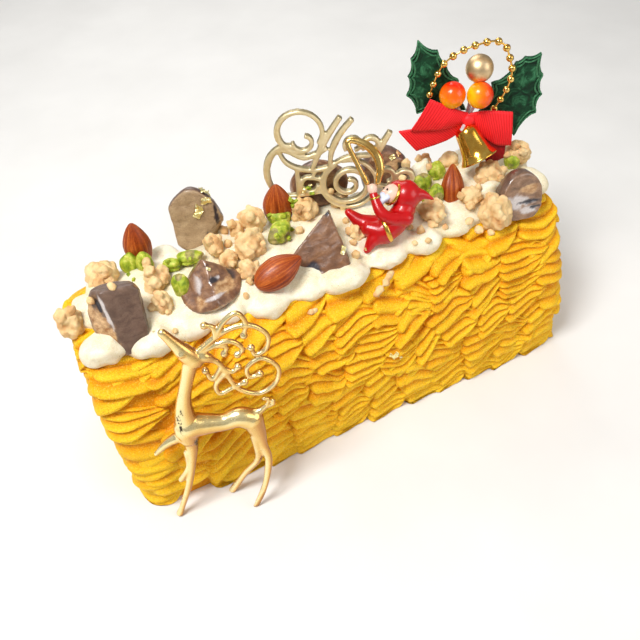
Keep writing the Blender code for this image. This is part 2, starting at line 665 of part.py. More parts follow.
def make_scroll_pick():
    strokes = [
        ("big_loop", spiral((-15.5, 37.5), 9.0, 8.2, -35, 330, 15), (2.0, 1.6, 2.6, 1.6)),
        ("loop_curl", spiral((-14.0, 33.5), 4.4, 2.6, 180, 260, 8), (1.2, 1.8, 1.6)),
        ("swoosh", [(-17.5, 31.5), (-22.5, 31.8), (-27.5, 27.5), (-29.6, 21), (-28.8, 14.5), (-25.5, 8),
                    (-19, 3)], (1.4, 2.2, 3.0, 2.6, 1.6, 1.4)),
        ("wave", [(-24, 30.5), (-20, 29.5), (-14.5, 26.6), (-9, 28.0), (-5.0, 30.5)], (1.6, 2.4, 1.6)),
        ("under_arc", [(-24.2, 30.5), (-22.0, 25.0), (-17.5, 21.8), (-11.0, 20.5), (-5, 21.5)],
         (1.4, 2.0, 1.6)),
        ("sprig_1", [(-11.5, 20.5), (-8.5, 28), (-5.0, 35), (0.4, 43.5)], (1.6, 2.8, 2.0)),
        ("sprig_2", [(-4.2, 22.5), (-3.2, 29), (0.0, 36), (5.0, 42.5)], (1.6, 2.6, 2.0)),
        ("curl_1", spiral((5.2, 31.0), 3.6, 2.2, 215, -290, 9), (1.4, 2.2, 1.4)),
        ("curl_2", spiral((12.3, 31.0), 3.6, 2.2, 215, -290, 9), (1.4, 2.2, 1.4)),
        ("row_line", [(-5, 21.5), (2, 25.5), (9, 26.2), (15, 26.5)], (1.4, 1.8, 1.4)),
        ("sprig_3", [(13.0, 24.0), (15.5, 29), (19.5, 36.5)], (1.4, 2.6, 2.0)),
        ("ring", spiral((3.2, 13.4), 11.2, 11.2, 118, 345, 18), (1.5,)),
        ("s_top", spiral((3.0, 16.8), 3.5, 2.8, 20, 250, 8), (1.4, 2.4, 1.8)),
        ("s_low", spiral((3.4, 9.6), 3.6, 2.8, 110, -260, 8), (1.8, 2.4, 1.4)),
        ("fan_1", spiral((-12.6, 13.5), 3.9, 3.2, 60, 300, 9), (1.4, 2.4, 1.4)),
        ("fan_2", [(-17.8, 8.0), (-17.2, 14.0), (-17.6, 22.5)], (1.4, 2.2, 1.6)),
        ("fan_3", [(-12.0, 17.0), (-7.6, 15.5), (-6.2, 9.5)], (1.4, 2.2, 1.6)),
        ("fan_4", [(-25.8, 8.6), (-17.8, 8.8), (-12.6, 9.4), (-6.8, 10.4)], (1.4,)),
        ("right_1", spiral((18.3, 16.0), 4.0, 2.8, 200, -280, 9), (1.4, 2.4, 1.6)),
        ("right_2", spiral((26.0, 15.0), 3.8, 2.6, 190, -280, 9), (1.4, 2.4, 1.6)),
        ("right_line", [(13.6, 12.5), (18.5, 11.2), (24.0, 10.6), (29.5, 12.6)], (1.4,)),
    ]
    shapes = [stroke(name, points, widths) for name, points, widths in strokes]
    bars = {
        "stick": [(-0.8, 3.4), (1.6, 3.4), (1.0, -9.0), (-0.2, -9.0)],
        "left_tie": [(-10.8, 20.8), (-9.0, 20.8), (-11.2, 16.2), (-12.8, 16.2)],
        "ring_tie": [(2.0, 14.4), (4.4, 14.4), (4.4, 11.6), (2.0, 11.6)],
    }
    for name, outline in bars.items():
        shapes.append(plate(name, outline, BAR_THICKNESS, SCROLL_FRAME, CUTTERS))
    return finish_with(fuse("scroll_pick", shapes), CHAMPAGNE, 0.3, 1.0)


# Figurine: a hooded figure in a red robe, lying back on the cream and holding a gold hoop

FIGURE_FRAME = place((19.0, -14.5, 83.0), yaw=PICK_YAW, lean=35)
HOOP_DEPTH = 3.4


def figure_ball(x, depth, z, radius, scale=(1, 1, 1)):
    frame = FIGURE_FRAME @ Matrix.Translation(Vector((x, -depth, z)) * MM)
    return ball("shape", radius, frame, 8, 6, scale, CUTTERS)


def make_figurine():
    shapes = [
        figure_ball(12.2, 0.0, 10.4, 5.9),
        tube("hood_tip", [(13.0, 0, 11.0), (17.0, 0, 12.2), (20.8, 0, 11.0)], [4.4, 2.4, 0.7],
             FIGURE_FRAME),
        figure_ball(6.4, 1.2, 12.0, 4.3),
        figure_ball(3.4, 2.0, 8.4, 2.8, (0.9, 0.8, 1.3)),
        tube("robe", [(10.5, 0, 5.5), (7.0, 0, 0.8), (0.5, 0, -2.0), (-4.5, 0, -1.0)],
             [5.6, 6.2, 6.4, 3.4], FIGURE_FRAME),
        tube("arm", [(10.0, -3.0, 2.5), (3.5, -4.5, 3.0), (-0.4, -4.5, 6.0), (-2.6, -3.0, 13.0)],
             [3.0, 2.8, 2.5, 1.9], FIGURE_FRAME),
        figure_ball(-3.2, 3.0, 14.8, 2.1),
        tube("leg", [(1.0, 0, -3.0), (-3.0, -1.0, -5.5), (-5.6, -1.0, -9.5)], [5.2, 3.0, 1.2],
             FIGURE_FRAME),
        tube("far_leg", [(-2.0, 2.0, 0.0), (-8.0, 2.0, 2.0), (-12.4, 2.0, 5.6)], [4.4, 3.2, 1.6],
             FIGURE_FRAME),
    ]
    return finish_with(fuse("figurine", shapes), SHINY_RED, 0.15)


def make_hoop():
    route = [(-5.2, 17.0), (-9.0, 25.0), (-12.2, 32.4), (-8.5, 32.8), (-4.0, 30.4), (-0.8, 26.6),
             (0.2, 22.0), (-0.8, 17.0)]
    path = [(x, -HOOP_DEPTH, z) for x, z in route]
    radii = [1.0, 1.0, 1.1, 1.4, 1.7, 1.8, 1.6, 1.1]
    hoop = tube("figurine_hoop", path, radii, FIGURE_FRAME)
    CUTTERS.objects.unlink(hoop)
    PARTS.objects.link(hoop)
    return finish_with(hoop, GOLD, 0.25, 1.0)


# Holly pick: leaves, berries, ball, bead arch, bow and bell in one facing plane

HOLLY_FRAME = place((78.6, 10.0, 78.0), yaw=PICK_YAW)
HOLLY_BASE_DEPTH = -9.0


def holly_at(x, depth, z):
    return HOLLY_FRAME @ Matrix.Translation(Vector((x, -depth, z)) * MM)


LEAF_DEPTH = -2.5
LEAF_THICKNESS = 1.2
LEAF_DIP = 0.13


def holly_leaf(name, spikes):
    """A holly leaf: spikes around its edge, with a shallow bay between each two."""
    middle = sum((Vector(spike) for spike in spikes), Vector((0.0, 0.0))) / len(spikes)
    outline = []
    for spike, following in zip(spikes, spikes[1:] + spikes[:1]):
        start, end = Vector(spike), Vector(following)
        halfway = 0.5 * (start + end)
        inward = (middle - halfway).normalized()
        outline += [tuple(start), tuple(halfway + inward * LEAF_DIP * (end - start).length)]
    leaf = plate(name, outline, LEAF_THICKNESS, holly_at(0, LEAF_DEPTH, 0))
    return finish_with(leaf, (0.01, 0.12, 0.04), 0.8)


BEAD_COUNT = 16
BEAD_ROUTE = ((-20.3, 35.2), (-18.4, 42.2), (-15.3, 48.3), (-8.2, 53.3), (0.3, 56.0), (4.7, 56.2),
              (8.1, 54.1), (10.3, 49.7), (12.3, 43.0), (11.0, 35.6), (7.2, 27.6))


def bead_path(count):
    """Bead centres, evenly spaced over the pointed arch."""
    arch = np.array(smooth_path(BEAD_ROUTE, 6))
    length = np.concatenate([[0.0], np.cumsum(np.linalg.norm(np.diff(arch, axis=0), axis=1))])
    stops = np.linspace(0.0, length[-1], count)
    return [tuple(float(np.interp(stop, length, arch[:, axis])) for axis in (0, 1)) for stop in stops]


def make_bead_chain():
    centres = bead_path(BEAD_COUNT)
    shapes = [tube("thread", [(x, 0.0, z) for x, z in centres], 0.6, holly_at(0, 0.5, 0), 0)]
    for x, z in centres:
        shapes.append(ball("bead", BEAD_RADIUS, holly_at(x, 0.5, z), 6, 4, collection=CUTTERS))
    return finish_with(fuse("bead_chain", shapes), GOLD, 0.2, 1.0)


def make_bow():
    """Ribbon bow: two flattened loops, two tails and a knot."""
    left_loop = [(-4.0, 27.5), (-10.0, 30.6), (-20.7, 35.6), (-28.0, 21.5), (-22.0, 20.6), (-4.0, 23.4)]
    right_loop = [(-4.0, 27.3), (2.0, 28.9), (8.6, 29.2), (14.0, 27.8), (15.6, 12.4), (8.0, 13.6),
                  (-3.5, 22.6)]
    left_tail = [(-4.5, 25.0), (-20.0, 22.4), (-32.9, 20.8), (-24.9, 11.2), (-12.0, 15.8), (-3.5, 21.5)]
    right_tail = [(-2.0, 24.0), (7.0, 15.5), (13.6, 12.0), (13.6, 5.6), (6.5, 4.0), (-4.0, 21.5)]
    layers = ((left_loop, 5.5), (right_loop, 5.0), (left_tail, 4.4), (right_tail, 3.9))
    shapes = [plate("ribbon", outline, RIBBON_THICKNESS, holly_at(0, depth, 0), CUTTERS)
              for outline, depth in layers]
    shapes.append(ball("knot", 2.4, holly_at(-4.0, 5.0, 25.0), 8, 6, (1.1, 0.8, 1.1), CUTTERS))
    return finish_with(fuse("ribbon_bow", shapes), (0.75, 0.02, 0.02), 0.5)


def make_bell():
    """A turned shell: outer wall down to the flared lip, then back up inside."""
    profile = [(0.05, 15.5), (3.6, 15.0), (4.8, 13.0), (5.4, 8.0), (6.3, 3.6), (8.2, 0.2),
               (7.6, 0.0), (5.5, 3.4), (4.6, 8.0), (3.9, 12.3), (3.0, 13.9), (0.05, 14.2)]
    bm = bmesh.new()
    ring = [bm.verts.new((radius, 0.0, height)) for radius, height in profile]
    for first, second in zip(ring, ring[1:]):
        bm.edges.new((first, second))
    bmesh.ops.spin(bm, geom=bm.verts[:] + bm.edges[:], cent=(0, 0, 0), axis=(0, 0, 1),
                   angle=math.tau, steps=12)
    bmesh.ops.remove_doubles(bm, verts=bm.verts, dist=0.12)
    frame = holly_at(1.2, 12.0, 10.4) @ Matrix.Rotation(math.radians(-30), 4, "Y")
    frame = frame @ Matrix.Rotation(math.radians(-26), 4, "X")
    return finish_with(new_piece("bell", bm, frame), GOLD, 0.15, 1.0)


def make_holly_stem():
    """Bound wires from the cream up to the leaves, berries and ball."""
    stem = [(0.4, 0, HOLLY_BASE_DEPTH), (-3.0, 0, 12.0), (-4.0, 0, 24.0), (-1.5, 0.6, 40.0)]
    wires = {
        "left_wire": [(-3.8, 0.0, 22.0), (-7.0, -0.6, 27.0), (-10.2, -1.4, 31.8)],
        "right_wire": [(-3.8, 0.0, 22.0), (-2.6, -0.8, 27.0), (-1.0, -1.8, 31.2)],
        "bell_wire": [(-4.0, 0.0, 22.0), (-6.0, -6.0, 23.5), (-7.4, -9.0, 23.5)],
    }
    shapes = [tube("stem", stem, [1.6, 1.4, 1.0, WIRE_RADIUS], holly_at(0, 0.0, 0))]
    shapes += [tube(name, path, WIRE_RADIUS, holly_at(0, 0.5, 0), 0) for name, path in wires.items()]
    return finish_with(fuse("holly_stem", shapes), (0.75, 0.75, 0.78), 0.5)


def make_holly_pick():
    matte_ball = ball("matte_ball", BERRY_RADIUS + 0.2, holly_at(-0.8, -0.6, 44.9), 10, 7)
    berry_left = ball("berry_left", BERRY_RADIUS, holly_at(-11.4, 3.4, 36.0), 10, 7)
    berry_right = ball("berry_right", BERRY_RADIUS, holly_at(-0.3, 4.2, 35.8), 10, 7)
    left_spikes = [(-26.2, 56.9), (-18.0, 52.7), (-13.8, 46.9), (-8.0, 39.4), (-3.8, 25.7),
                   (-14.6, 23.0), (-25.0, 24.8), (-29.9, 33.3), (-29.7, 42.1), (-28.8, 49.7)]
    right_spikes = [(23.7, 49.7), (17.6, 48.5), (14.0, 46.4), (5.0, 37.6), (1.2, 24.3),
                    (11.5, 20.0), (18.2, 12.1), (26.2, 23.0), (27.4, 31.6), (26.2, 40.4)]
    return [
        make_holly_stem(),
        finish_with(matte_ball, CHAMPAGNE, 0.45, 1.0),
        finish_with(berry_left, (0.90, 0.25, 0.02), 0.2),
        finish_with(berry_right, (0.95, 0.45, 0.03), 0.2),
        make_bead_chain(),
        make_bow(),
        make_bell(),
        holly_leaf("holly_leaf_left", left_spikes),
        holly_leaf("holly_leaf_right", right_spikes),
    ]


def main():
    picks = [make_deer(), make_scroll_pick(), make_figurine(), make_hoop()] + make_holly_pick()
    toppings = make_chestnuts() + make_almonds() + make_pistachios() + make_crumbles()
    log = make_piped_log()
    make_room(picks + [make_cream()] + toppings + [log])
    flatten_base(log)


main()
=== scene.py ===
"""Looks of a yule log cake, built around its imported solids.

Lengths are in millimetres until a mesh is made. The origin is the middle of the log's flat base,
+X runs along the log, -Y is its front side and +Z is up.
"""
import itertools
import math
import random

import bmesh
import bpy
import numpy as np
from mathutils import Matrix, Vector, noise


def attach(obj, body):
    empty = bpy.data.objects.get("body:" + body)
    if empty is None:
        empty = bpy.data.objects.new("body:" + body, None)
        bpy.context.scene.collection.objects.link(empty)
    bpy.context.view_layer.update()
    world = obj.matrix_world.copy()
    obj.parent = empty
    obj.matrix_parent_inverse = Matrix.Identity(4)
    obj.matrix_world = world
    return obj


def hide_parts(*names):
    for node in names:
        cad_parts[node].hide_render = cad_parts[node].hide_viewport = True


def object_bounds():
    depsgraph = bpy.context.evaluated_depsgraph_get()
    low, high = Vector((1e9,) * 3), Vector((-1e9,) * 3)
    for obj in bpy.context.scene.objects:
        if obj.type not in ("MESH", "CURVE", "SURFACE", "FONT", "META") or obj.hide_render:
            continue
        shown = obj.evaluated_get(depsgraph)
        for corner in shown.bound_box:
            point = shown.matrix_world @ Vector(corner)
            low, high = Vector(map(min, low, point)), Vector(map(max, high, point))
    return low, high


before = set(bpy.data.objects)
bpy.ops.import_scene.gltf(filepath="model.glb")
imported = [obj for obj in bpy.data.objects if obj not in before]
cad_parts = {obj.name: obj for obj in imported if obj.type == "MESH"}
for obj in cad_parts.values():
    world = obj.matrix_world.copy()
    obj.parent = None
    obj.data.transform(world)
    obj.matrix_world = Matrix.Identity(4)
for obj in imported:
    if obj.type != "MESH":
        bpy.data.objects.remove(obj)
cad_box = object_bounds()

MM = 0.001
BODY = "root"

# Log: the core's section, as in the solids
LOG_HALF_LENGTH = 95.5
LOG_HALF_WIDTH = 39.5
LOG_HEIGHT = 72.5
DOME_POWER = 2.6
OUTER_HALF_WIDTH = 44.0
OUTER_HEIGHT = 77.0
PETAL_ROWS_A_SIDE = 9
BAND_HALF_WIDTH = 21.0
BAND_RISE = 2.0
CORNER_RADIUS = 7.5
# Half length of the core's lowest ring, and how much shorter the highest one is
RING_HALF_LENGTH = 99.6
RING_TOP_CUT = 1.2
# How far the piping's ends stand out further than the plain section, and from where on
RIGHT_SWELL = 1.6
LEFT_SWELL = 4.2
SWELL_START = 78.0
SWELL_LENGTH = 20.0
# Each end's side, the distance at which it starts to flatten, and its room past that
END_LIMITS = ((1.0, 101.5, 3.1), (-1.0, 104.5, 3.6))

PICK_YAW = 25.5
SCROLL_THICKNESS = 2.6
SCROLL_BEVEL = 0.45
BEAD_RADIUS = 1.55
BERRY_RADIUS = 5.4
WHITE = (1.0, 1.0, 1.0, 1.0)
# Large odd numbers that turn a cell's place and seed into a random value
HASH_STEPS = np.array([73856093, 19349663, 83492791])
HASH_SEED = 7919
HASH_ROUNDS = ((13, 1274126177), (15, 668265263))


# Frames and points

def place(origin, yaw=0.0, lean=0.0, roll=0.0):
    """A plane's frame: local X to the right, Y away from the viewer, Z up along the leaning plane."""
    turn = Matrix.Rotation(math.radians(-yaw), 4, "Z") @ Matrix.Rotation(math.radians(-lean), 4, "X")
    return Matrix.Translation(Vector(origin)) @ turn @ Matrix.Rotation(math.radians(roll), 4, "Y")


def moved(points, matrix):
    values = np.array(matrix)
    return np.asarray(points, float) @ values[:3, :3].T + values[:3, 3]


def smooth(x):
    t = np.clip(x, 0.0, 1.0)
    return t * t * (3.0 - 2.0 * t)


def grain(points, size, seed=0):
    """Smooth noise from -1 to 1, with features of that size."""
    scaled = np.asarray(points, float) / size
    cell = np.floor(scaled).astype(np.int64)
    part = scaled - cell
    part = part * part * (3.0 - 2.0 * part)
    total = np.zeros(scaled.shape[:-1])
    for corner in itertools.product((0, 1), repeat=3):
        weight = np.prod(np.where(np.array(corner) == 1, part, 1.0 - part), axis=-1)
        key = (cell + np.array(corner)) @ HASH_STEPS + seed * HASH_SEED
        for shift, factor in HASH_ROUNDS:
            key = (key ^ (key >> shift)) * factor & 0x7FFFFFFF
        total += weight * ((key >> 8) & 0xFFFF) / 65535.0
    return 2.0 * total - 1.0


def smooth_path(points, steps):
    """Catmull-Rom points between the given ones."""
    knots = [np.array(point, float) for point in points]
    knots = [2 * knots[0] - knots[1]] + knots + [2 * knots[-1] - knots[-2]]
    path = []
    for before, start, end, after in zip(knots, knots[1:], knots[2:], knots[3:]):
        for step in range(steps):
            t = step / steps
            path.append(0.5 * (2 * start + (end - before) * t
                               + (2 * before - 5 * start + 4 * end - after) * t ** 2
                               + (3 * start - before - 3 * end + after) * t ** 3))
    return np.array(path + [knots[-2]])


# Shapes: each is a pair of points and faces

def grid_faces(rows, columns, closed=False):
    """Four-sided faces of a grid of points; a closed one joins its last column to the first."""
    spans = columns if closed else columns - 1
    row, column = np.meshgrid(np.arange(rows - 1), np.arange(spans), indexing="ij")
    here = row * columns + column
    beside = row * columns + (column + 1) % columns
    return np.stack([here, beside, beside + columns, here + columns], -1).reshape(-1, 4)


def tube_faces(rings, sides):
    """Faces of a tube of closed rings, with a cap at each end."""
    count = rings * sides
    caps = [list(range(sides)), list(range(count - sides, count))[::-1]]
    return grid_faces(rings, sides, closed=True).tolist() + caps


def joined(shapes):
    points, faces, start = [], [], 0
    for shape_points, shape_faces in shapes:
        points.append(np.asarray(shape_points, float))
        faces += [[start + index for index in face] for face in shape_faces]
        start += len(shape_points)
    return np.concatenate(points), faces


def swept(points, radii, matrix, sides=16, steps=5, flatten=1.0, up=(0.0, 1.0, 0.0)):
    """A rounded tube through points given as (x, z) or (x, y, z)."""
    if not hasattr(radii, "__len__"):
        radii = [radii] * len(points)
    full = [tuple(point) if len(point) == 3 else (point[0], 0.0, point[1]) for point in points]
    path = smooth_path(np.column_stack([np.array(full, float), radii]), steps)
    centres, radius = path[:, :3], np.maximum(path[:, 3], 0.05)
    along = np.gradient(centres, axis=0)
    along /= np.linalg.norm(along, axis=1)[:, None]
    cap = np.radians([90, 68, 45, 22])
    first = centres[0] - along[0] * radius[0] * np.sin(cap)[:, None]
    last = centres[-1] + along[-1] * radius[-1] * np.sin(cap[::-1])[:, None]
    centres = np.concatenate([first, centres, last])
    radius = np.concatenate([radius[0] * np.maximum(np.cos(cap), 0.04), radius,
                             radius[-1] * np.maximum(np.cos(cap[::-1]), 0.04)])
    along = np.concatenate([np.repeat(along[:1], 4, 0), along, np.repeat(along[-1:], 4, 0)])
    side = np.cross(along, np.array(up))
    side /= np.maximum(np.linalg.norm(side, axis=1), 1e-6)[:, None]
    rise = np.cross(side, along)
    angle = np.linspace(0.0, math.tau, sides, endpoint=False)
    cosine, sine = np.cos(angle)[None, :, None], np.sin(angle)[None, :, None]
    ring = cosine * side[:, None] + sine * rise[:, None] * flatten
    tube_points = (centres[:, None] + radius[:, None, None] * ring).reshape(-1, 3)
    return moved(tube_points, matrix), tube_faces(len(centres), sides)


def round_shape(matrix, radii, level=4):
    """An ellipsoid of evenly spread points."""
    bm = bmesh.new()
    bmesh.ops.create_icosphere(bm, subdivisions=level, radius=1.0)
    points = np.array([vert.co for vert in bm.verts]) * np.array(radii)
    faces = [[vert.index for vert in face.verts] for face in bm.faces]
    bm.free()
    return moved(points, matrix), faces


def unit_ball(level):
    return round_shape(Matrix(), (1, 1, 1), level)


def slab(outline, thickness, matrix):
    """A flat outline in the local X-Z plane, with its thickness along Y."""
    count = len(outline)
    flat = np.array(outline, float)
    front = np.column_stack([flat[:, 0], np.full(count, -0.5 * thickness), flat[:, 1]])
    back = front + np.array([0.0, thickness, 0.0])
    faces = [list(range(count)), list(range(count, 2 * count))[::-1]]
    for index in range(count):
        following = (index + 1) % count
        faces.append([index, index + count, following + count, following])
    return moved(np.concatenate([front, back]), matrix), faces


def lathe(profile, matrix, sides):
    """A turned form around the local Z axis."""
    angle = np.linspace(0.0, math.tau, sides, endpoint=False)
    ring = [np.column_stack([radius * np.cos(angle), radius * np.sin(angle), np.full(sides, height)])
            for radius, height in profile]
    return moved(np.concatenate(ring), matrix), grid_faces(len(profile), sides, closed=True).tolist()


def mesh_of(name, points, faces):
    mesh = bpy.data.meshes.new(name)
    mesh.from_pydata(np.asarray(points, float).tolist(), [], [list(face) for face in faces])
    bm = bmesh.new()
    bm.from_mesh(mesh)
    bmesh.ops.recalc_face_normals(bm, faces=bm.faces)
    bm.to_mesh(mesh)
    bm.free()
    return mesh


def piece_from(name, mesh, look, replaced=(), values=None):
    """Turn a mesh in millimetres into a piece of the cake in metres."""
    points = np.clip(coordinates(mesh) * MM, np.array(cad_box[0]), np.array(cad_box[1]))
    mesh.vertices.foreach_set("co", points.ravel())
    for key, data in (values or {}).items():
        attribute = mesh.attributes.new(key, "FLOAT", "POINT")
        attribute.data.foreach_set("value", np.asarray(data, np.float32))
    mesh.materials.clear()
    mesh.materials.append(look)
    mesh.shade_smooth()
    mesh.update()
    piece = bpy.data.objects.new(name, mesh)
    bpy.context.scene.collection.objects.link(piece)
    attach(piece, BODY)
    if replaced:
        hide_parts(*replaced)


def shape_piece(name, shape, look, replaced, values=None):
    """Turn a pair of points and faces into a piece of the cake."""
    piece_from(name, mesh_of(name, *shape), look, replaced, values)


def coordinates(mesh):
    values = np.zeros(len(mesh.vertices) * 3)
    mesh.vertices.foreach_get("co", values)
    return values.reshape(-1, 3)


def normals(mesh):
    values = np.zeros(len(mesh.vertices) * 3, np.float32)
    mesh.vertices.foreach_get("normal", values)
    return values.reshape(-1, 3).astype(float)


def set_coordinates(mesh, points):
    mesh.vertices.foreach_set("co", np.asarray(points, float).ravel())
    mesh.update()


def remeshed(name, shapes, voxel, rounds):
    """One closed skin around overlapping closed shapes, smoothed."""
    points, faces = joined(shapes)
    holder = bpy.data.objects.new(name, mesh_of(name, points, faces))
    bpy.context.scene.collection.objects.link(holder)
    remesh = holder.modifiers.new("remesh", "REMESH")
    remesh.mode = "VOXEL"
    remesh.voxel_size = voxel
    relax = holder.modifiers.new("relax", "SMOOTH")
    relax.factor = 0.5
    relax.iterations = rounds
    bpy.context.view_layer.update()
    graph = bpy.context.evaluated_depsgraph_get()
    mesh = bpy.data.meshes.new_from_object(holder.evaluated_get(graph))
    bpy.data.objects.remove(holder, do_unlink=True)
    return mesh


# Looks

def srgb(red, green, blue):
    """A colour given as 0 to 255, as light values."""
    light = [((part / 255 + 0.055) / 1.055) ** 2.4 if part > 10 else part / 255 / 12.92
             for part in (red, green, blue)]
    return (*light, 1.0)


class Look:
    """A procedural material, with its texture coordinates in millimetres."""

    def __init__(self, name, **sockets):
        self.material = bpy.data.materials.new(name)
        self.material.use_nodes = True
        self.tree = self.material.node_tree
        self.shader = self.tree.nodes["Principled BSDF"]
        for socket, value in sockets.items():
            self.shader.inputs[socket.replace("_", " ")].default_value = value
        where = self.tree.nodes.new("ShaderNodeTexCoord")
        scale = self.tree.nodes.new("ShaderNodeMapping")
        scale.inputs["Scale"].default_value = (1000, 1000, 1000)
        self.link(where.outputs["Object"], scale.inputs["Vector"])
        self.where = scale.outputs["Vector"]

    def link(self, source, target):
        self.tree.links.new(source, target)

    def noise(self, size, detail=2.0, rough=0.5, stretch=None, distortion=0.0):
        node = self.tree.nodes.new("ShaderNodeTexNoise")
        node.inputs["Scale"].default_value = 1.0 / size
        node.inputs["Detail"].default_value = detail
        node.inputs["Roughness"].default_value = rough
        node.inputs["Distortion"].default_value = distortion
        self.link(self.stretched(stretch), node.inputs["Vector"])
        return node.outputs["Fac"]

    def stretched(self, stretch):
        if stretch is None:
            return self.where
        node = self.tree.nodes.new("ShaderNodeMapping")
        rotation, scale = stretch
        node.inputs["Rotation"].default_value = [math.radians(angle) for angle in rotation]
        node.inputs["Scale"].default_value = scale
        self.link(self.where, node.inputs["Vector"])
        return node.outputs["Vector"]

    def value(self, name):
        node = self.tree.nodes.new("ShaderNodeAttribute")
        node.attribute_name = name
        return node.outputs["Fac"]

    def ramp(self, source, stops):
        node = self.tree.nodes.new("ShaderNodeValToRGB")
        ramp = node.color_ramp
        for index, (position, colour) in enumerate(stops):
            if index < 2:
                stop = ramp.elements[index]
                stop.position = position
            else:
                stop = ramp.elements.new(position)
            stop.color = colour if hasattr(colour, "__len__") else (colour, colour, colour, 1.0)
        self.link(source, node.inputs["Fac"])
        return node.outputs["Color"]

    def mix(self, share, first, second, blend="MIX"):
        node = self.tree.nodes.new("ShaderNodeMix")
        node.data_type = "RGBA"
        node.blend_type = blend
        for value, socket in ((share, node.inputs[0]), (first, node.inputs[6]), (second, node.inputs[7])):
            if hasattr(value, "is_linked"):
                self.link(value, socket)
            else:
                socket.default_value = value
        return node.outputs[2]

    def between(self, dark, light, noise, low=0.35, high=0.65):
        """A colour from dark to light along a noise given as (size, detail, roughness)."""
        return self.ramp(self.noise(*noise), [(low, dark), (high, light)])

    def patches(self, base, colour, noise, *stops):
        """A base with patches of a colour, whose share follows the noise."""
        return self.mix(self.ramp(self.noise(*noise), stops), base, colour)

    def grained(self, base, share, noise, low, shade, high):
        """A base darkened towards a shade where a fine noise is low."""
        grains = self.between((*shade, 1.0), WHITE, noise, low, high)
        return self.mix(share, base, grains, "MULTIPLY")

    def colour(self, source):
        self.link(source, self.shader.inputs["Base Color"])

    def roughness(self, source, low, high):
        node = self.tree.nodes.new("ShaderNodeMapRange")
        node.inputs["To Min"].default_value = low
        node.inputs["To Max"].default_value = high
        self.link(source, node.inputs["Value"])
        self.link(node.outputs["Result"], self.shader.inputs["Roughness"])

    def bump(self, layers):
        """Bumps given as (height, depth in millimetres)."""
        normal = None
        for height, depth in layers:
            node = self.tree.nodes.new("ShaderNodeBump")
            node.inputs["Strength"].default_value = 1.0
            node.inputs["Distance"].default_value = depth * MM
            self.link(height, node.inputs["Height"])
            if normal is not None:
                self.link(normal, node.inputs["Normal"])
            normal = node.outputs["Normal"]
        self.link(normal, self.shader.inputs["Normal"])


def piped_cream_look():
    look = Look("piped_cream", Subsurface_Weight=0.12, Subsurface_Scale=0.0018, Specular_IOR_Level=0.14)
    look.shader.inputs["Subsurface Radius"].default_value = (1.0, 0.55, 0.10)
    # Painted light and shade: the crest value paints the ridges' crests and lower lips bright and the
    # recesses between them dark orange
    base = look.ramp(look.value("crest"), [(0.0, srgb(204, 106, 0)), (1.0, srgb(255, 206, 40)),
                                           (0.40, srgb(244, 166, 0))])
    base = look.mix(look.mix(0.7, (0.0, 0.0, 0.0, 1.0), look.value("low")), base, srgb(255, 208, 44))
    base = look.patches(base, srgb(250, 176, 4), (9.0, 2.0), (0.40, 0.0), (0.72, 0.30))
    base = look.grained(base, 0.75, (0.60, 4.0, 0.75), 0.40, (0.72, 0.64, 0.40), 0.56)
    base = look.patches(base, srgb(255, 226, 110), (0.50, 3.0, 0.7), (0.54, 0.0), (0.66, 0.5))
    specks = look.ramp(look.noise(0.42, 3.0, 0.7), [(0.53, 0.0), (0.62, 0.8)])
    clusters = look.ramp(look.noise(11.0, 1.0), [(0.40, 0.1), (0.62, 1.0)])
    specks = look.mix(1.0, specks, clusters, "MULTIPLY")
    specks = look.mix(1.0, specks, look.value("dust"), "MULTIPLY")
    look.colour(look.mix(specks, base, srgb(186, 112, 6)))
    look.roughness(look.noise(2.0), 0.48, 0.64)
    look.bump([(look.noise(1.5, 3.0, 0.6), 0.25), (look.noise(0.50, 3.0, 0.65), 0.26)])
    return look.material


def pale_cream_look():
    look = Look("pale_cream", Subsurface_Weight=0.25, Subsurface_Scale=0.003, Specular_IOR_Level=0.4)
    look.shader.inputs["Subsurface Radius"].default_value = (1.0, 0.75, 0.5)
    base = look.between(srgb(222, 208, 170), srgb(240, 232, 208), (7.0, 3.0), 0.35, 0.7)
    base = look.patches(base, srgb(250, 246, 230), (0.5, 3.0, 0.7), (0.45, 0.0), (0.66, 0.5))
    look.colour(look.patches(base, srgb(140, 112, 70), (0.6, 2.0, 0.6), (0.68, 0.0), (0.72, 0.7)))
    look.roughness(look.noise(3.0), 0.34, 0.52)
    look.bump([(look.noise(2.6, 3.0), 0.30), (look.noise(0.45, 3.0), 0.10)])
    return look.material


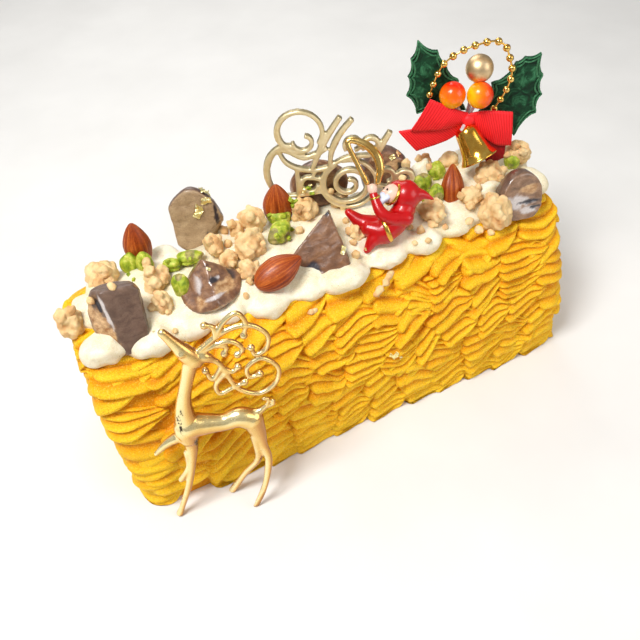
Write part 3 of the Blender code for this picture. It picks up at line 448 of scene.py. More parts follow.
def chestnut_look(name, face, rim, gloss):
    """A candied chestnut: a cut face, a glossy rim, dark stains and pale streaks, and, on one of them,
    painted shade in a hole and painted highlights beside it and along its base.
    """
    look = Look(name, Specular_IOR_Level=0.55, Coat_Weight=gloss, Coat_Roughness=0.12)
    cut = look.value("cut")
    fibres = look.noise(2.6, 5.0, 0.55, stretch=((20, 30, 0), (0.6, 1.0, 1.0)), distortion=0.6)
    inner = look.ramp(fibres, [(0.25, face[0]), (0.78, face[2]), (0.50, face[1])])
    skin = look.ramp(look.noise(2.4, 5.0, 0.6, stretch=((0, 20, 15), (1.0, 1.0, 0.3))),
                     [(0.32, rim[0]), (0.70, rim[2]), (0.52, rim[1])])
    base = look.mix(cut, skin, inner)
    cracks = look.ramp(look.noise(4.2, 3.0, 0.55, stretch=((10, 40, 25), (0.6, 1.0, 2.0))),
                       [(0.490, 0.0), (0.510, 0.0), (0.50, 0.40)])
    base = look.mix(cracks, base, srgb(70, 48, 38))
    streaks = look.noise(1.6, 4.0, 0.6, stretch=((20, 30, 0), (0.25, 1.0, 1.0)))
    tan = look.ramp(streaks, [(0.3, srgb(150, 98, 48)), (0.7, srgb(226, 188, 138))])
    # Tan and pale streaks, with painted highlights among the pale marks; dark stains, with painted shade in
    # a hole among the dark marks
    for mark, colour in (("tan", tan), ("pale", srgb(206, 196, 192)), ("ink_and_shade", srgb(40, 34, 42))):
        base = look.mix(look.value(mark), base, colour)
    look.colour(look.grained(base, 0.8, (0.5, 3.0, 0.7), 0.38, (0.80, 0.78, 0.76), 0.58))
    look.roughness(look.mix(cut, (0.2, 0.2, 0.2, 1.0), look.noise(1.0)), 0.20, 0.58)
    look.bump([(fibres, 0.18), (look.noise(0.6, 3.0, 0.6), 0.10)])
    return look.material


def almond_look():
    look = Look("almond_skin", Specular_IOR_Level=0.3, Coat_Weight=0.15, Coat_Roughness=0.2)
    ridge = look.value("ridge")
    base = look.ramp(ridge, [(0.1, srgb(104, 32, 4)), (0.9, srgb(206, 112, 44)), (0.48, srgb(158, 66, 12))])
    base = look.patches(base, srgb(132, 48, 8), (3.0, 3.0), (0.5, 0.0), (0.75, 0.5))
    look.colour(look.grained(base, 0.7, (0.7, 4.0, 0.7), 0.36, (0.62, 0.58, 0.55), 0.58))
    look.roughness(look.noise(1.0), 0.30, 0.52)
    look.bump([(ridge, 0.12), (look.noise(0.6, 4.0, 0.7), 0.12)])
    return look.material


def pistachio_look():
    look = Look("pistachio_kernel", Subsurface_Weight=0.1, Subsurface_Scale=0.001, Specular_IOR_Level=0.4)
    flesh = look.ramp(look.noise(2.6, 4.0, 0.6), [(0.32, srgb(104, 128, 14)), (0.72, srgb(222, 216, 112)),
                                                  (0.52, srgb(164, 178, 44))])
    husk = look.between(srgb(96, 58, 62), srgb(158, 120, 108), (1.2, 3.0), 0.35, 0.7)
    look.colour(look.mix(look.ramp(look.value("skin"), [(0.6, 0.0), (1.0, 0.8)]), flesh, husk))
    look.roughness(look.noise(1.0), 0.38, 0.6)
    look.bump([(look.noise(0.9, 4.0, 0.65), 0.3)])
    return look.material


def crumble_look():
    look = Look("baked_crumble", Specular_IOR_Level=0.3, Subsurface_Weight=0.08, Subsurface_Scale=0.001)
    # Darker where the knob value is low: painted shade in the hollows of the large crumbles, a random tone
    # on the small crumbs
    base = look.ramp(look.value("knob"), [(0.0, srgb(190, 134, 76)), (1.0, srgb(240, 212, 160)),
                                          (0.4, srgb(226, 190, 134))])
    look.colour(look.patches(base, srgb(208, 142, 82), (5.0, 3.0), (0.52, 0.0), (0.70, 0.6)))
    look.roughness(look.noise(0.8), 0.55, 0.85)
    look.bump([(look.noise(0.9, 4.0, 0.7), 0.45)])
    return look.material


def metal_look(name, dark, light, low, high, dents=0.06, size=3.0):
    """A metal with two colours, a roughness from low to high and shallow dents of that size."""
    look = Look(name, Metallic=1.0)
    look.colour(look.between(dark, light, (size, 3.0)))
    look.roughness(look.noise(size * 0.6, 3.0), low, high)
    look.bump([(look.noise(size, 2.0), dents), (look.noise(0.25, 2.0), 0.004)])
    return look.material


def deer_look():
    """Metallised gold with painted light: pale gold on the side that faces the painted light, browner on the
    side away from it, painted warm shade on its undersides, and worn off in places.
    """
    look = Look("deer_gold", Metallic=0.85)
    # Painted light: brown on the side away from the light, pale gold on the side facing it
    painted_light = look.mix(0.10, look.value("painted_light"), look.noise(3.0, 2.0))
    base = look.ramp(painted_light, [(0.08, srgb(178, 126, 66)), (0.95, srgb(255, 238, 180)),
                              (0.36, srgb(204, 150, 84)), (0.68, srgb(236, 198, 120))])
    # Painted warm shade on the downward-facing undersides
    base = look.mix(look.value("underside_shade"), base, srgb(206, 140, 104))
    chips = look.ramp(look.noise(1.0, 4.0, 0.7), [(0.46, 0.0), (0.54, 1.0)])
    chipped = look.mix(1.0, look.value("worn"), chips, "MULTIPLY")
    look.colour(look.mix(chipped, base, srgb(52, 36, 34)))
    look.roughness(look.noise(3.0, 2.0), 0.22, 0.30)
    look.bump([(look.noise(3.0, 2.0), 0.05)])
    return look.material


def champagne_look():
    look = Look("champagne_metal", Metallic=0.6)
    face = look.between(srgb(222, 202, 152), srgb(236, 218, 174), (3.0, 3.0))
    flank = look.between(srgb(136, 124, 92), srgb(176, 160, 120), (1.5, 3.0))
    look.colour(look.mix(look.value("face"), flank, face))
    look.roughness(look.noise(1.5, 3.0), 0.34, 0.5)
    look.bump([(look.noise(0.5, 2.0, stretch=((0, 0, 0), (0.3, 1.0, 1.0))), 0.02)])
    return look.material


def gold_look():
    look = Look("bright_gold", Metallic=1.0)
    worn = look.ramp(look.noise(0.8, 6.0, 0.7), [(0.70, 0.0), (0.735, 1.0)])
    worn = look.mix(1.0, worn, look.ramp(look.noise(9.0, 2.0), [(0.52, 0.0), (0.62, 1.0)]), "MULTIPLY")
    base = look.between(srgb(224, 176, 92), srgb(242, 206, 128), (5.0, 2.0))
    look.colour(look.mix(worn, base, srgb(60, 48, 30)))
    look.roughness(look.noise(3.0, 3.0), 0.16, 0.30)
    look.bump([(look.noise(4.0, 2.0), 0.08), (look.noise(0.3, 2.0), 0.004)])
    return look.material


def velvet_look():
    look = Look("green_velvet", Sheen_Weight=0.6, Sheen_Roughness=0.35, Specular_IOR_Level=0.25)
    look.shader.inputs["Sheen Tint"].default_value = srgb(120, 190, 140)
    crush = look.noise(4.6, 4.0, 0.6, distortion=1.2)
    look.colour(look.ramp(crush, [(0.34, srgb(4, 26, 15)), (0.78, srgb(70, 140, 96)),
                                  (0.54, srgb(14, 62, 36))]))
    look.roughness(look.noise(1.0), 0.6, 0.85)
    look.bump([(crush, 0.5), (look.noise(0.25, 2.0), 0.05)])
    return look.material


def stitch_look():
    look = Look("green_stitching", Sheen_Weight=0.4, Specular_IOR_Level=0.3)
    look.shader.inputs["Sheen Tint"].default_value = srgb(150, 200, 160)
    look.colour(look.between(srgb(20, 74, 44), srgb(66, 132, 88), (0.8, 2.0), 0.3, 0.7))
    look.roughness(look.noise(1.0), 0.5, 0.8)
    look.bump([(look.noise(0.4, 2.0), 0.12)])
    return look.material


def ribbon_look(name, dark, light):
    look = Look(name, Sheen_Weight=0.25, Sheen_Roughness=0.4, Specular_IOR_Level=0.35)
    look.shader.inputs["Sheen Tint"].default_value = srgb(255, 120, 120)
    look.colour(look.ramp(look.value("rib"), [(0.0, dark), (1.0, light)]))
    look.roughness(look.noise(1.5), 0.42, 0.62)
    look.bump([(look.noise(0.22, 2.0), 0.03)])
    return look.material


def berry_look():
    look = Look("berry_skin", Specular_IOR_Level=0.35, Coat_Weight=0.3, Coat_Roughness=0.16,
                Subsurface_Weight=0.1, Subsurface_Scale=0.001)
    base = look.ramp(look.value("shade"), [(0.0, srgb(255, 190, 8)), (1.0, srgb(232, 36, 4)),
                                           (0.5, srgb(252, 116, 2))])
    look.colour(look.patches(base, srgb(226, 70, 16), (2.0, 3.0), (0.5, 0.0), (0.8, 0.4)))
    look.roughness(look.noise(2.0), 0.16, 0.30)
    look.bump([(look.noise(1.2, 2.0), 0.05)])
    return look.material


def gloss_look(name, dark, light, low, high):
    """A lacquered paint with two colours and a roughness from low to high."""
    look = Look(name, Specular_IOR_Level=0.35, Coat_Weight=0.3, Coat_Roughness=0.12)
    look.colour(look.between(dark, light, (4.0, 3.0), 0.3, 0.7))
    look.roughness(look.noise(2.0), low, high)
    look.bump([(look.noise(1.6, 2.0), 0.05)])
    return look.material


def wire_look():
    look = Look("wrapped_wire", Specular_IOR_Level=0.4)
    look.colour(look.between(srgb(190, 190, 196), srgb(232, 232, 236), (1.0, 3.0), 0.3, 0.7))
    look.roughness(look.noise(1.0), 0.4, 0.6)
    look.bump([(look.noise(0.8, 2.0, stretch=((0, 0, 0), (0.2, 0.2, 2.0))), 0.15)])
    return look.material


# Log

def section_table():
    """Arc length, half width and height up one side of the core's section."""
    angle = np.linspace(0.0, 0.5 * math.pi, 721)
    half = LOG_HALF_WIDTH * np.abs(np.cos(angle)) ** (2 / DOME_POWER)
    height = LOG_HEIGHT * np.abs(np.sin(angle)) ** (2 / DOME_POWER)
    length = np.concatenate([[0.0], np.cumsum(np.hypot(np.diff(half), np.diff(height)))])
    return length, half, height


SECTION = section_table()
SIDE_LENGTH = float(SECTION[0][-1])
PITCH = SIDE_LENGTH / PETAL_ROWS_A_SIDE


def ring_sizes(station):
    """Half width, height, half length and corner radius of the ring at a distance up the side."""
    half = np.interp(station, SECTION[0], SECTION[1])
    height = np.interp(station, SECTION[0], SECTION[2])
    half_length = RING_HALF_LENGTH - RING_TOP_CUT * (height / LOG_HEIGHT) ** 4
    corner = np.minimum(CORNER_RADIUS, half * 0.999)
    return half, height, half_length, corner


def ring_lengths(station):
    """Lengths of the ring's eight legs: a side, then a corner, four times."""
    half, _height, half_length, corner = ring_sizes(station)
    turn = 0.5 * math.pi * corner
    return np.array([2 * (half_length - corner), turn, 2 * (half - corner), turn] * 2)


def ring_point(loop, station):
    """Points on the core: loop runs 0 to 8 anticlockwise from the front's left end."""
    half, height, length, corner = ring_sizes(station)
    loop = np.mod(loop, 8.0)
    leg = np.floor(loop).astype(int)
    part = loop - leg
    straight_x = length - corner
    straight_y = half - corner
    angle = 0.5 * math.pi * part
    sine, cosine = np.sin(angle), np.cos(angle)
    xs = [straight_x * (2 * part - 1), straight_x + corner * sine, length, straight_x + corner * cosine,
          straight_x * (1 - 2 * part), -straight_x - corner * sine, -length, -straight_x - corner * cosine]
    ys = [-half, -straight_y - corner * cosine, straight_y * (2 * part - 1), straight_y + corner * sine,
          half, straight_y + corner * cosine, straight_y * (1 - 2 * part), -straight_y - corner * sine]
    shape = np.broadcast(loop, half)
    xs = [np.broadcast_to(x, shape.shape) for x in xs]
    ys = [np.broadcast_to(y, shape.shape) for y in ys]
    leg = np.broadcast_to(leg, shape.shape)
    return np.stack([np.choose(leg, xs), np.choose(leg, ys), np.broadcast_to(height, shape.shape)], -1)


def ring_normal(loop, station):
    """Outward directions on the core, from its slope along and up."""
    ahead = ring_point(loop + 0.004, station) - ring_point(loop - 0.004, station)
    upper = np.minimum(station + 0.6, SIDE_LENGTH)
    lower = np.maximum(station - 0.6, 0)
    out = np.cross(ahead, ring_point(loop, upper) - ring_point(loop, lower))
    return out / np.maximum(np.linalg.norm(out, axis=-1), 1e-9)[..., None]


def ends_out(points):
    """Swell the log's ends, the left one towards the top, and flatten them at their limits."""
    x, z = points[..., 0], points[..., 2]
    right = RIGHT_SWELL * smooth((x - SWELL_START) / SWELL_LENGTH)
    left = LEFT_SWELL * smooth((-x - SWELL_START) / SWELL_LENGTH) * smooth((z - 8.0) / 50.0)
    x = x + right - left
    for side, start, room in END_LIMITS:
        past = np.maximum(side * x - start, 0.0)
        x = np.where(past > 0.0, side * (start + room * np.tanh(past / room)), x)
    return np.stack([x, points[..., 1], z], -1)


# How far a petal's nose, edges, start and tip sink into the core, and its lowest height
NOSE_SINK = 1.5
EDGE_SINK = 1.6
START_SINK = 1.8
TIP_SINK = 1.2
PETAL_FOOT = 0.25


def petal(row_station, start, length, width, tilt, ridges, depth, ridge_depth, bend, lift, seed,
          steps, fineness):
    """One piped petal: ridges from staggered blunt ends to lifted points, over the row below."""
    draw = np.random.default_rng(seed)
    edges = np.concatenate([[0.0], np.cumsum(draw.uniform(0.7, 1.3, ridges))])
    delay = draw.uniform(0.0, 1.0, ridges)
    cell = np.arange(fineness * ridges + 1) / fineness
    band = np.minimum(np.floor(cell), ridges - 1).astype(int)
    line = np.interp(cell, np.arange(ridges + 1), edges / edges[-1])
    along = np.concatenate([[0.0], np.linspace(0.0, 1.0, steps - 2) ** 1.25, [0.985]])
    a, share = np.meshgrid(along, line, indexing="ij")
    b = 2.0 * share - 1.0
    part = np.broadcast_to(cell - band, a.shape)
    late = np.broadcast_to(delay[band], a.shape)
    local = np.clip((a - 0.17 * late) / (1.0 - 0.17 * late - 0.10 * (1.0 - late)), 0.0, 1.0)
    blunt = np.sqrt(1.0 - np.clip(1.0 - a / 0.20, 0.0, 1.0) ** 2)
    nose = np.sqrt(1.0 - np.clip(1.0 - local / 0.13, 0.0, 1.0) ** 2)
    tail = 1.0 - smooth((local - 0.84) / 0.16)
    crest = (0.5 - 0.5 * np.cos(math.tau * part ** 0.85)) ** 0.8
    taper = 1.0 - 0.70 * smooth((a - 0.50) / 0.50) ** 1.3
    half = 0.5 * width * blunt ** 0.5 * taper
    lip = smooth((b + 1.0) / 0.16)
    body = lip * (1.0 - 0.62 * share ** 1.2)
    ridge = crest * (0.75 + 0.5 * late)
    height = depth * body * (1.26 - 0.82 * a)
    height += ridge_depth * ridge * (1.05 - 0.35 * a) * (0.25 + 0.75 * tail)
    height += lift * smooth((a - 0.62) / 0.25) * (1 - np.abs(b) ** 2)
    height = height * nose - NOSE_SINK * (1.0 - nose)
    place_on = np.stack([a * length, b * half, np.full_like(a, seed * 9.1)], -1)
    height = height + 0.6 * grain(place_on, 5.0, 8) * blunt + 0.10 * grain(place_on, 1.0, 9) * nose
    height[:, (0, -1)] = -EDGE_SINK
    height[0, :] = -START_SINK
    height[-1, :] = -TIP_SINK
    lengths = ring_lengths(row_station)
    borders = np.concatenate([[0.0], np.cumsum(lengths)])
    track = start + a * length * math.cos(math.radians(tilt))
    loop = np.interp(np.mod(track, borders[-1]), borders, np.arange(9))
    phase = draw.uniform(0.0, 0.7)
    wave = bend * np.sin(math.pi * (1.6 * a + phase)) + 1.8 * (a - 0.5) ** 3 * abs(bend)
    station = row_station + a * length * math.sin(math.radians(tilt)) + half * b + wave
    station = station - 0.46 * np.maximum(height, 0.0) * (1.0 - 0.35 * share)
    station = np.clip(station, 0.5, SIDE_LENGTH - 1.0)
    points = ring_point(loop, station) + ring_normal(loop, station) * height[..., None]
    points[..., 2] = np.maximum(points[..., 2], PETAL_FOOT)
    points = ends_out(points)
    low = smooth((22.0 - points[..., 2]) / 22.0)
    # Painted light and shade for the colour: bright on the ridges' crests and lower lips, dark in the
    # recesses between them
    brightness = np.clip(0.06 + 0.86 * ridge * nose + 0.16 * lip * (1 - share), 0.0, 1.0)
    return points.reshape(-1, 3), grid_faces(*a.shape), brightness.ravel(), low.ravel()


# Steps along and columns a ridge for the petals of each side, finest where they show most
FINENESS = {"piping_front_low": (30, 8), "piping_front_top": (30, 8), "piping_right": (26, 6),
            "piping_back": (18, 4), "piping_left": (32, 7)}
TOP_ROW = 5
CORE_SKIN = 1.1


def side_of(middle, row, lengths, borders):
    """The side that a petal belongs to, from the place of its middle along the ring."""
    if middle < borders[0] + 0.5 * lengths[1]:
        return "piping_front_low" if row < TOP_ROW else "piping_front_top"
    if middle < borders[2] + 0.5 * lengths[3]:
        return "piping_right"
    if middle < borders[4] + 0.5 * lengths[5]:
        return "piping_back"
    return "piping_left"


def make_petals():
    """The petals of each side, in rows from the base to the top; the left end has the largest ones."""
    draw = np.random.default_rng(23)
    sides = {name: [] for name in FINENESS}
    for row in range(PETAL_ROWS_A_SIDE):
        station = (row + 0.52) * PITCH
        lengths = ring_lengths(station)
        borders = np.cumsum(lengths)
        start = draw.uniform(0.0, 20.0)
        while start < borders[-1] - 6.0:
            left_side = start < 26.0 or start > borders[-1] - lengths[7] - 0.6 * lengths[6]
            length = draw.uniform(31.0, 42.0) if left_side else draw.uniform(19.0, 28.0)
            step = length * draw.uniform(0.62, 0.80)
            tilt = draw.uniform(-14.0, 18.0) if left_side else draw.uniform(-3.0, 11.0)
            bend = draw.uniform(-6.5, 6.5) if left_side else draw.uniform(-3.2, 3.2)
            width = PITCH * (draw.uniform(1.4, 2.0) if left_side else draw.uniform(1.35, 1.65))
            if left_side:
                ridges = int(draw.integers(3, 5))
            else:
                ridges = int(draw.integers(2, 4) if row > 5 else draw.integers(3, 6))
            seed = int(draw.integers(1, 900))
            shift = draw.uniform(-2.4, 1.8) if row else 0.6
            side = side_of(start + 0.4 * length, row, lengths, borders)
            at_corner = abs(start + length - borders[0]) < 14.0
            lift = draw.uniform(0.6, 1.6) + (1.4 if at_corner or side == "piping_right" else 0.0)
            depth = draw.uniform(3.0, 4.6) * (0.7 if row > 6 else 1.0)
            ridge_depth = draw.uniform(1.3, 2.0)
            sides[side].append(petal(station + shift, start, length, width, tilt, ridges, depth,
                                     ridge_depth, bend, lift, seed, *FINENESS[side]))
            start += step
    return sides


def make_core(look):
    """The closed body of cream under the petals."""
    stations = np.concatenate([[0.0], np.linspace(0.4, SIDE_LENGTH, 40)])
    loop = np.linspace(0.0, 8.0, 160, endpoint=False)
    grid_loop, grid_station = np.meshgrid(loop, stations, indexing="xy")
    skin = ring_normal(grid_loop, grid_station) * CORE_SKIN
    points = ends_out((ring_point(grid_loop, grid_station) + skin).reshape(-1, 3))
    points[:, 2] = np.maximum(points[:, 2], 0.0)
    count = len(points)
    # The core, seen only between the petals, takes the darker painted shade of the recesses
    shape_piece("cake_core", (points, tube_faces(len(stations), len(loop))), look, ["piped_log"],
                {"crest": np.full(count, 0.25), "low": np.zeros(count),
                                "dust": np.full(count, 0.3)})


def make_log(look):
    for name, petals in make_petals().items():
        points, faces = joined([(shape[0], shape[1]) for shape in petals])
        values = {"crest": np.concatenate([shape[2] for shape in petals]),
                  "low": np.concatenate([shape[3] for shape in petals]),
                  "dust": smooth((points[:, 2] - 10.0) / 50.0) * 0.85 + 0.15}
        shape_piece(name, (points, faces), look, ["piped_log"], values)
    make_core(look)


def dome_height(y):
    """Height of the log's outer section at a distance from its middle plane."""
    part = np.abs(y / OUTER_HALF_WIDTH) ** DOME_POWER
    return OUTER_HEIGHT * np.maximum(0.0, 1.0 - part) ** (1.0 / DOME_POWER)


def on_top(x, y, lift):
    return (x, y, float(dome_height(y)) + lift)


# Cream band: x and y of each dollop's middle, and its half width

FRONT_DOLLOPS = ((-95, -18, 10.0), (-80, -21, 9.5), (-62, -21, 9.5), (-48, -20, 8.0), (-34, -22.5, 9.5),
                 (-19, -23, 8.0), (-1, -21.5, 11.0), (19, -21, 9.0), (36, -19.5, 8.5), (52, -19.5, 8.5),
                 (68, -17, 8.0), (85, -15, 8.5))
BACK_DOLLOPS = ((-88, 20, 9.5), (-63, 21, 10.0), (-38, 20, 9.0), (-13, 21, 10.0), (12, 20, 9.0),
                (37, 21, 10.0), (62, 20, 9.5), (87, 19, 10.0))
END_DOLLOPS = ((-97, 1, 8.5), (97, -11, 8.5), (98, 5, 8.5), (-90, 9, 8.5))
END_DOLLOP_SHAPE = (0.7, 1.0, 0.6)
DOLLOP_LEAN = 22.0
BAND_SINK = 4.0


# Small drawn-up peaks of cream: foot, middle and tip as x, y and lift, with their radii
CREAM_PEAKS = ((((70.0, -11.0, 1.0), (73.5, -12.5, 5.5), (78.5, -14.0, 7.0)), (4.4, 2.6, 0.6)),
               (((96.0, 9.0, 0.0), (97.5, 10.0, 4.0), (99.0, 10.5, 7.0)), (5.0, 3.6, 1.0)),
               (((57.0, 17.0, 1.0), (58.5, 17.5, 5.0), (60.0, 17.0, 8.5)), (5.0, 3.4, 0.8)))


def make_cream(look):
    draw = np.random.default_rng(41)
    across = np.linspace(-BAND_HALF_WIDTH, BAND_HALF_WIDTH, 25)
    section = [(y, float(dome_height(y)) + BAND_RISE) for y in across]
    section += [(y, float(dome_height(y)) - BAND_SINK) for y in across[::-1]]
    shapes = [slab(section, 2 * LOG_HALF_LENGTH - 4.0, place((0, 0, 0), yaw=-90))]
    for x, y, half_width in FRONT_DOLLOPS + BACK_DOLLOPS:
        side = math.copysign(1.0, y)
        matrix = place(on_top(x, y, 0.0), lean=-side * DOLLOP_LEAN)
        matrix = matrix @ Matrix.Rotation(math.radians(draw.uniform(-24.0, 24.0)), 4, "Z")
        matrix = matrix @ Matrix.Translation((0, -side * draw.uniform(0.4, 3.0), -1.2))
        radii = half_width * draw.uniform([0.86, 0.76, 0.50], [1.08, 0.94, 0.62])
        shapes.append(round_shape(matrix, radii))
    for x, y, half_width in END_DOLLOPS:
        shapes.append(round_shape(place(on_top(x, y, -1.0)), half_width * np.array(END_DOLLOP_SHAPE)))
    for knots, radii in CREAM_PEAKS:
        path = [on_top(*knot) for knot in knots]
        shapes.append(swept(path, radii, Matrix(), 20, 6, up=(1.0, 0.0, 0.0)))
    mesh = remeshed("cream_band", shapes, voxel=1.0, rounds=5)
    points, out = coordinates(mesh), normals(mesh)
    swirl = grain(points * np.array([1.0, 0.45, 1.0]) + 3.0 * grain(points, 14.0, 7)[:, None], 4.2, 2)
    swell = 1.2 * grain(points, 12.0, 1) + 0.75 * swirl + 0.15 * grain(points, 1.6, 6)
    set_coordinates(mesh, points + out * swell[:, None])
    piece_from("whipped_cream", mesh, look, ["cream_band"])


# Toppings

# Each chestnut's frame, radii and the planes that cut it, as a point and a direction
CHESTNUTS = (
    (place((-86.3, -15.0, 81.4), 18, 22, -10), (11.5, 8.5, 16.0),
     (((1.0, -4.0, 0), (0.34, -0.94, 0)), ((-2.0, -5.1, 0), (-0.50, -0.87, 0)),
      ((8.0, 0, 0), (1, 0.1, -0.16)), ((0, 0, 13.0), (0.16, 0, 1.0)), ((0, 0, -12.0), (0.1, 0, -1.0)))),
    (place((-46.2, 21.7, 84.6), 20, 8), (11.4, 8.5, 13.6),
     (((0, -1.8, 0), (0, -1, 0)), ((0, 4.5, 0), (0, 1, 0)), ((-9.0, 0, 0), (-1, 0, -0.05)),
      ((4.6, -2.0, -4.6), (0.62, -0.62, -0.48)))),
    (place((-52.5, -13.1, 81.6), -12, 38), (12.8, 9.0, 10.0),
     (((0.5, -4.2, 0), (0.42, -1, 0.10)), ((-2.0, -3.8, 0), (-0.70, -0.72, 0.30)),
      ((-2.6, 0, 8.0), (-0.62, 0.1, 0.80)), ((5.0, 0, 6.4), (0.66, -0.10, 0.72)))),
    (place((-7.3, -13.6, 80.6), 28, 40, 8), (13.2, 7.5, 17.0),
     (((0, -2.6, 0), (0, -1, 0)), ((-8.2, 0, 0), (-0.86, 0, 0.50)), ((8.6, 0, 3.0), (0.86, 0, 0.50)),
      ((0, 0, -12), (0.20, 0, -1)))),
    (place((8.5, 20.0, 85.5), 15, 15), (12.5, 8.0, 9.5), (((0, -3.5, 0), (0, -1, 0)),)),
    (place((40.0, 19.1, 80.8), 20, 12, -14), (11.0, 7.5, 12.0),
     (((0, -4.0, 0), (0, -1, 0)), ((0, 5.0, 0), (0, 1, 0)))),
    (place((82.7, -20.6, 78.1), 14, 18), (10.2, 8.5, 11.0),
     (((0, -3.5, 0), (0.1, -1, 0)), ((9, 0, 0), (1, 0, 0)), ((0, 0, -9), (0, 0, -1)))),
)

GREY_TAN = (srgb(146, 118, 86), srgb(170, 142, 108), srgb(192, 166, 132))
TAN = (srgb(106, 76, 52), srgb(142, 106, 78), srgb(172, 136, 104))
GREY_BROWN = (srgb(82, 60, 48), srgb(104, 80, 66), srgb(128, 102, 84))
WARM = (srgb(92, 58, 34), srgb(122, 82, 52), srgb(154, 112, 76))
BROWN = (srgb(84, 52, 36), srgb(128, 88, 60), srgb(176, 134, 96))
SYRUP = (srgb(70, 40, 22), srgb(150, 100, 62), srgb(206, 166, 120))
# Each chestnut's colours on its cut face and its rim, and its gloss
CHESTNUT_COLOURS = (
    (GREY_BROWN, SYRUP, 0.1), (GREY_TAN, GREY_BROWN, 0.15), (BROWN, SYRUP, 0.9), (WARM, GREY_BROWN, 0.3),
    (BROWN, SYRUP, 0.3), (BROWN, GREY_BROWN, 0.4), (TAN, GREY_BROWN, 0.9))
# Marks on each chestnut's front: kind, x and z of the middle, half width and half height; dark marks are
# stains and painted shade, pale marks streaks and painted highlights
CHESTNUT_MARKS = (
    (("tan", -7.6, -3.0, 4.9, 14.0), ("pale", -3.2, 5.0, 0.9, 6.5), ("ink_and_shade", -5.0, 8.0, 1.0, 3.2)),
    (("ink_and_shade", 9.0, 3.0, 0.9, 6.0), ("ink_and_shade", 4.4, -5.5, 0.7, 2.4)),
    # The third: the dark mark at 0.6, 1.4 is painted shade in a hole; the pale marks at 2.6, 1.6 and at
    # -1.0, -4.4 along the base are painted highlights
    (("pale", -5.8, 3.4, 2.6, 4.6), ("tan", 3.5, -2.6, 6.0, 2.8), ("ink_and_shade", 0.6, 1.4, 2.2, 1.3),
     ("pale", 2.6, 1.6, 1.1, 0.8), ("pale", -1.0, -4.4, 4.4, 0.8), ("ink_and_shade", 9.2, 1.0, 1.4, 3.2),
     ("tan", -7.5, -4.0, 2.6, 2.4)),
    (("ink_and_shade", 0.6, 15.0, 1.7, 2.6), ("ink_and_shade", -1.5, -8.5, 3.6, 4.2), ("ink_and_shade", -4.5, -11.0, 4.0, 1.8),
     ("pale", -7.6, 7.0, 0.8, 7.5)),
    (("tan", 2.0, 3.0, 5.0, 4.0),),
    (("tan", 3.0, 4.0, 4.0, 3.0), ("ink_and_shade", 7.0, 0.0, 1.5, 4.0)),
    (("pale", -3.0, -1.0, 5.0, 3.4), ("tan", 3.5, 4.0, 4.6, 2.2), ("ink_and_shade", 3.0, -1.6, 5.4, 0.8),
     ("pale", 2.5, -5.0, 4.0, 1.6), ("ink_and_shade", 6.0, -4.2, 2.6, 0.9)),
)


def marks_on(points, marks, kind, seed):
    """How far each point lies in the marks of that kind, with uneven edges."""
    share = np.zeros(len(points))
    for found, x, z, wide, high in marks:
        if found == kind:
            reach = np.hypot((points[:, 0] - x) / wide, (points[:, 2] - z) / high)
            reach = reach + 0.35 * grain(points, 2.2, seed) + 0.15 * grain(points, 0.9, seed + 1)
            share = np.maximum(share, smooth((1.15 - reach) / 0.45))
    return share * smooth((1.0 - points[:, 1]) / 2.0)


def make_chestnuts():
    rows = zip(CHESTNUTS, CHESTNUT_COLOURS, CHESTNUT_MARKS)
    for number, ((matrix, radii, cuts), colours, marks) in enumerate(rows, start=1):
        points, faces = unit_ball(6)
        points[:, 2] += 0.12 * np.maximum(points[:, 2], 0.0) ** 4
        points = points * np.array(radii)
        planes = [(np.array(origin, float), np.array(direction, float) / np.linalg.norm(direction))
                  for origin, direction in cuts]
        for origin, direction in planes:
            points = points - direction * np.maximum((points - origin) @ direction, 0.0)[:, None]
        mesh = remeshed(f"chestnut_{number}", [(points, faces)], voxel=0.52, rounds=4)
        points, out = coordinates(mesh), normals(mesh)
        values = {kind: marks_on(points, marks, kind, number) for kind in ("tan", "pale", "ink_and_shade")}
        depths = [smooth(((points - origin) @ direction + 0.85) / 0.6) for origin, direction in planes]
        values["cut"] = np.max(depths, axis=0)
        rough = 0.38 * grain(points + 40 * number, 5.0, number)
        rough = rough + 0.10 * grain(points + 9 * number, 1.4, number)
        points = points + out * (rough - 0.30 * values["ink_and_shade"])[:, None]
        set_coordinates(mesh, moved(points, matrix))
        name = f"candied_chestnut_{number}"
        piece_from(name, mesh, chestnut_look(name, *colours), [f"chestnut_{number}"], values)


# Each almond's frame, length, width and thickness
ALMONDS = ((place((-71.1, 20.0, 84.4), 15, 4), 20.0, 11.0, 8.0),
           (place((-12, 17, 84), 20, 2), 20.0, 12.5, 8.0),
           (place((-27, -18, 81), 20, 48, 62), 20.5, 12.5, 8.0),
           (place((59.3, -5.2, 81.2), -20, 20, 18), 20.5, 11.5, 8.5))
ALMOND_RINGS = 50
ALMOND_SIDES = 90


def skin_noise(around, along, offset, turns, stretch, seed):
    """Noise on an almond's skin, drawn out along it."""
    return grain(np.stack([around * turns, along * stretch, np.full_like(along, offset)], -1), 1.0, seed)


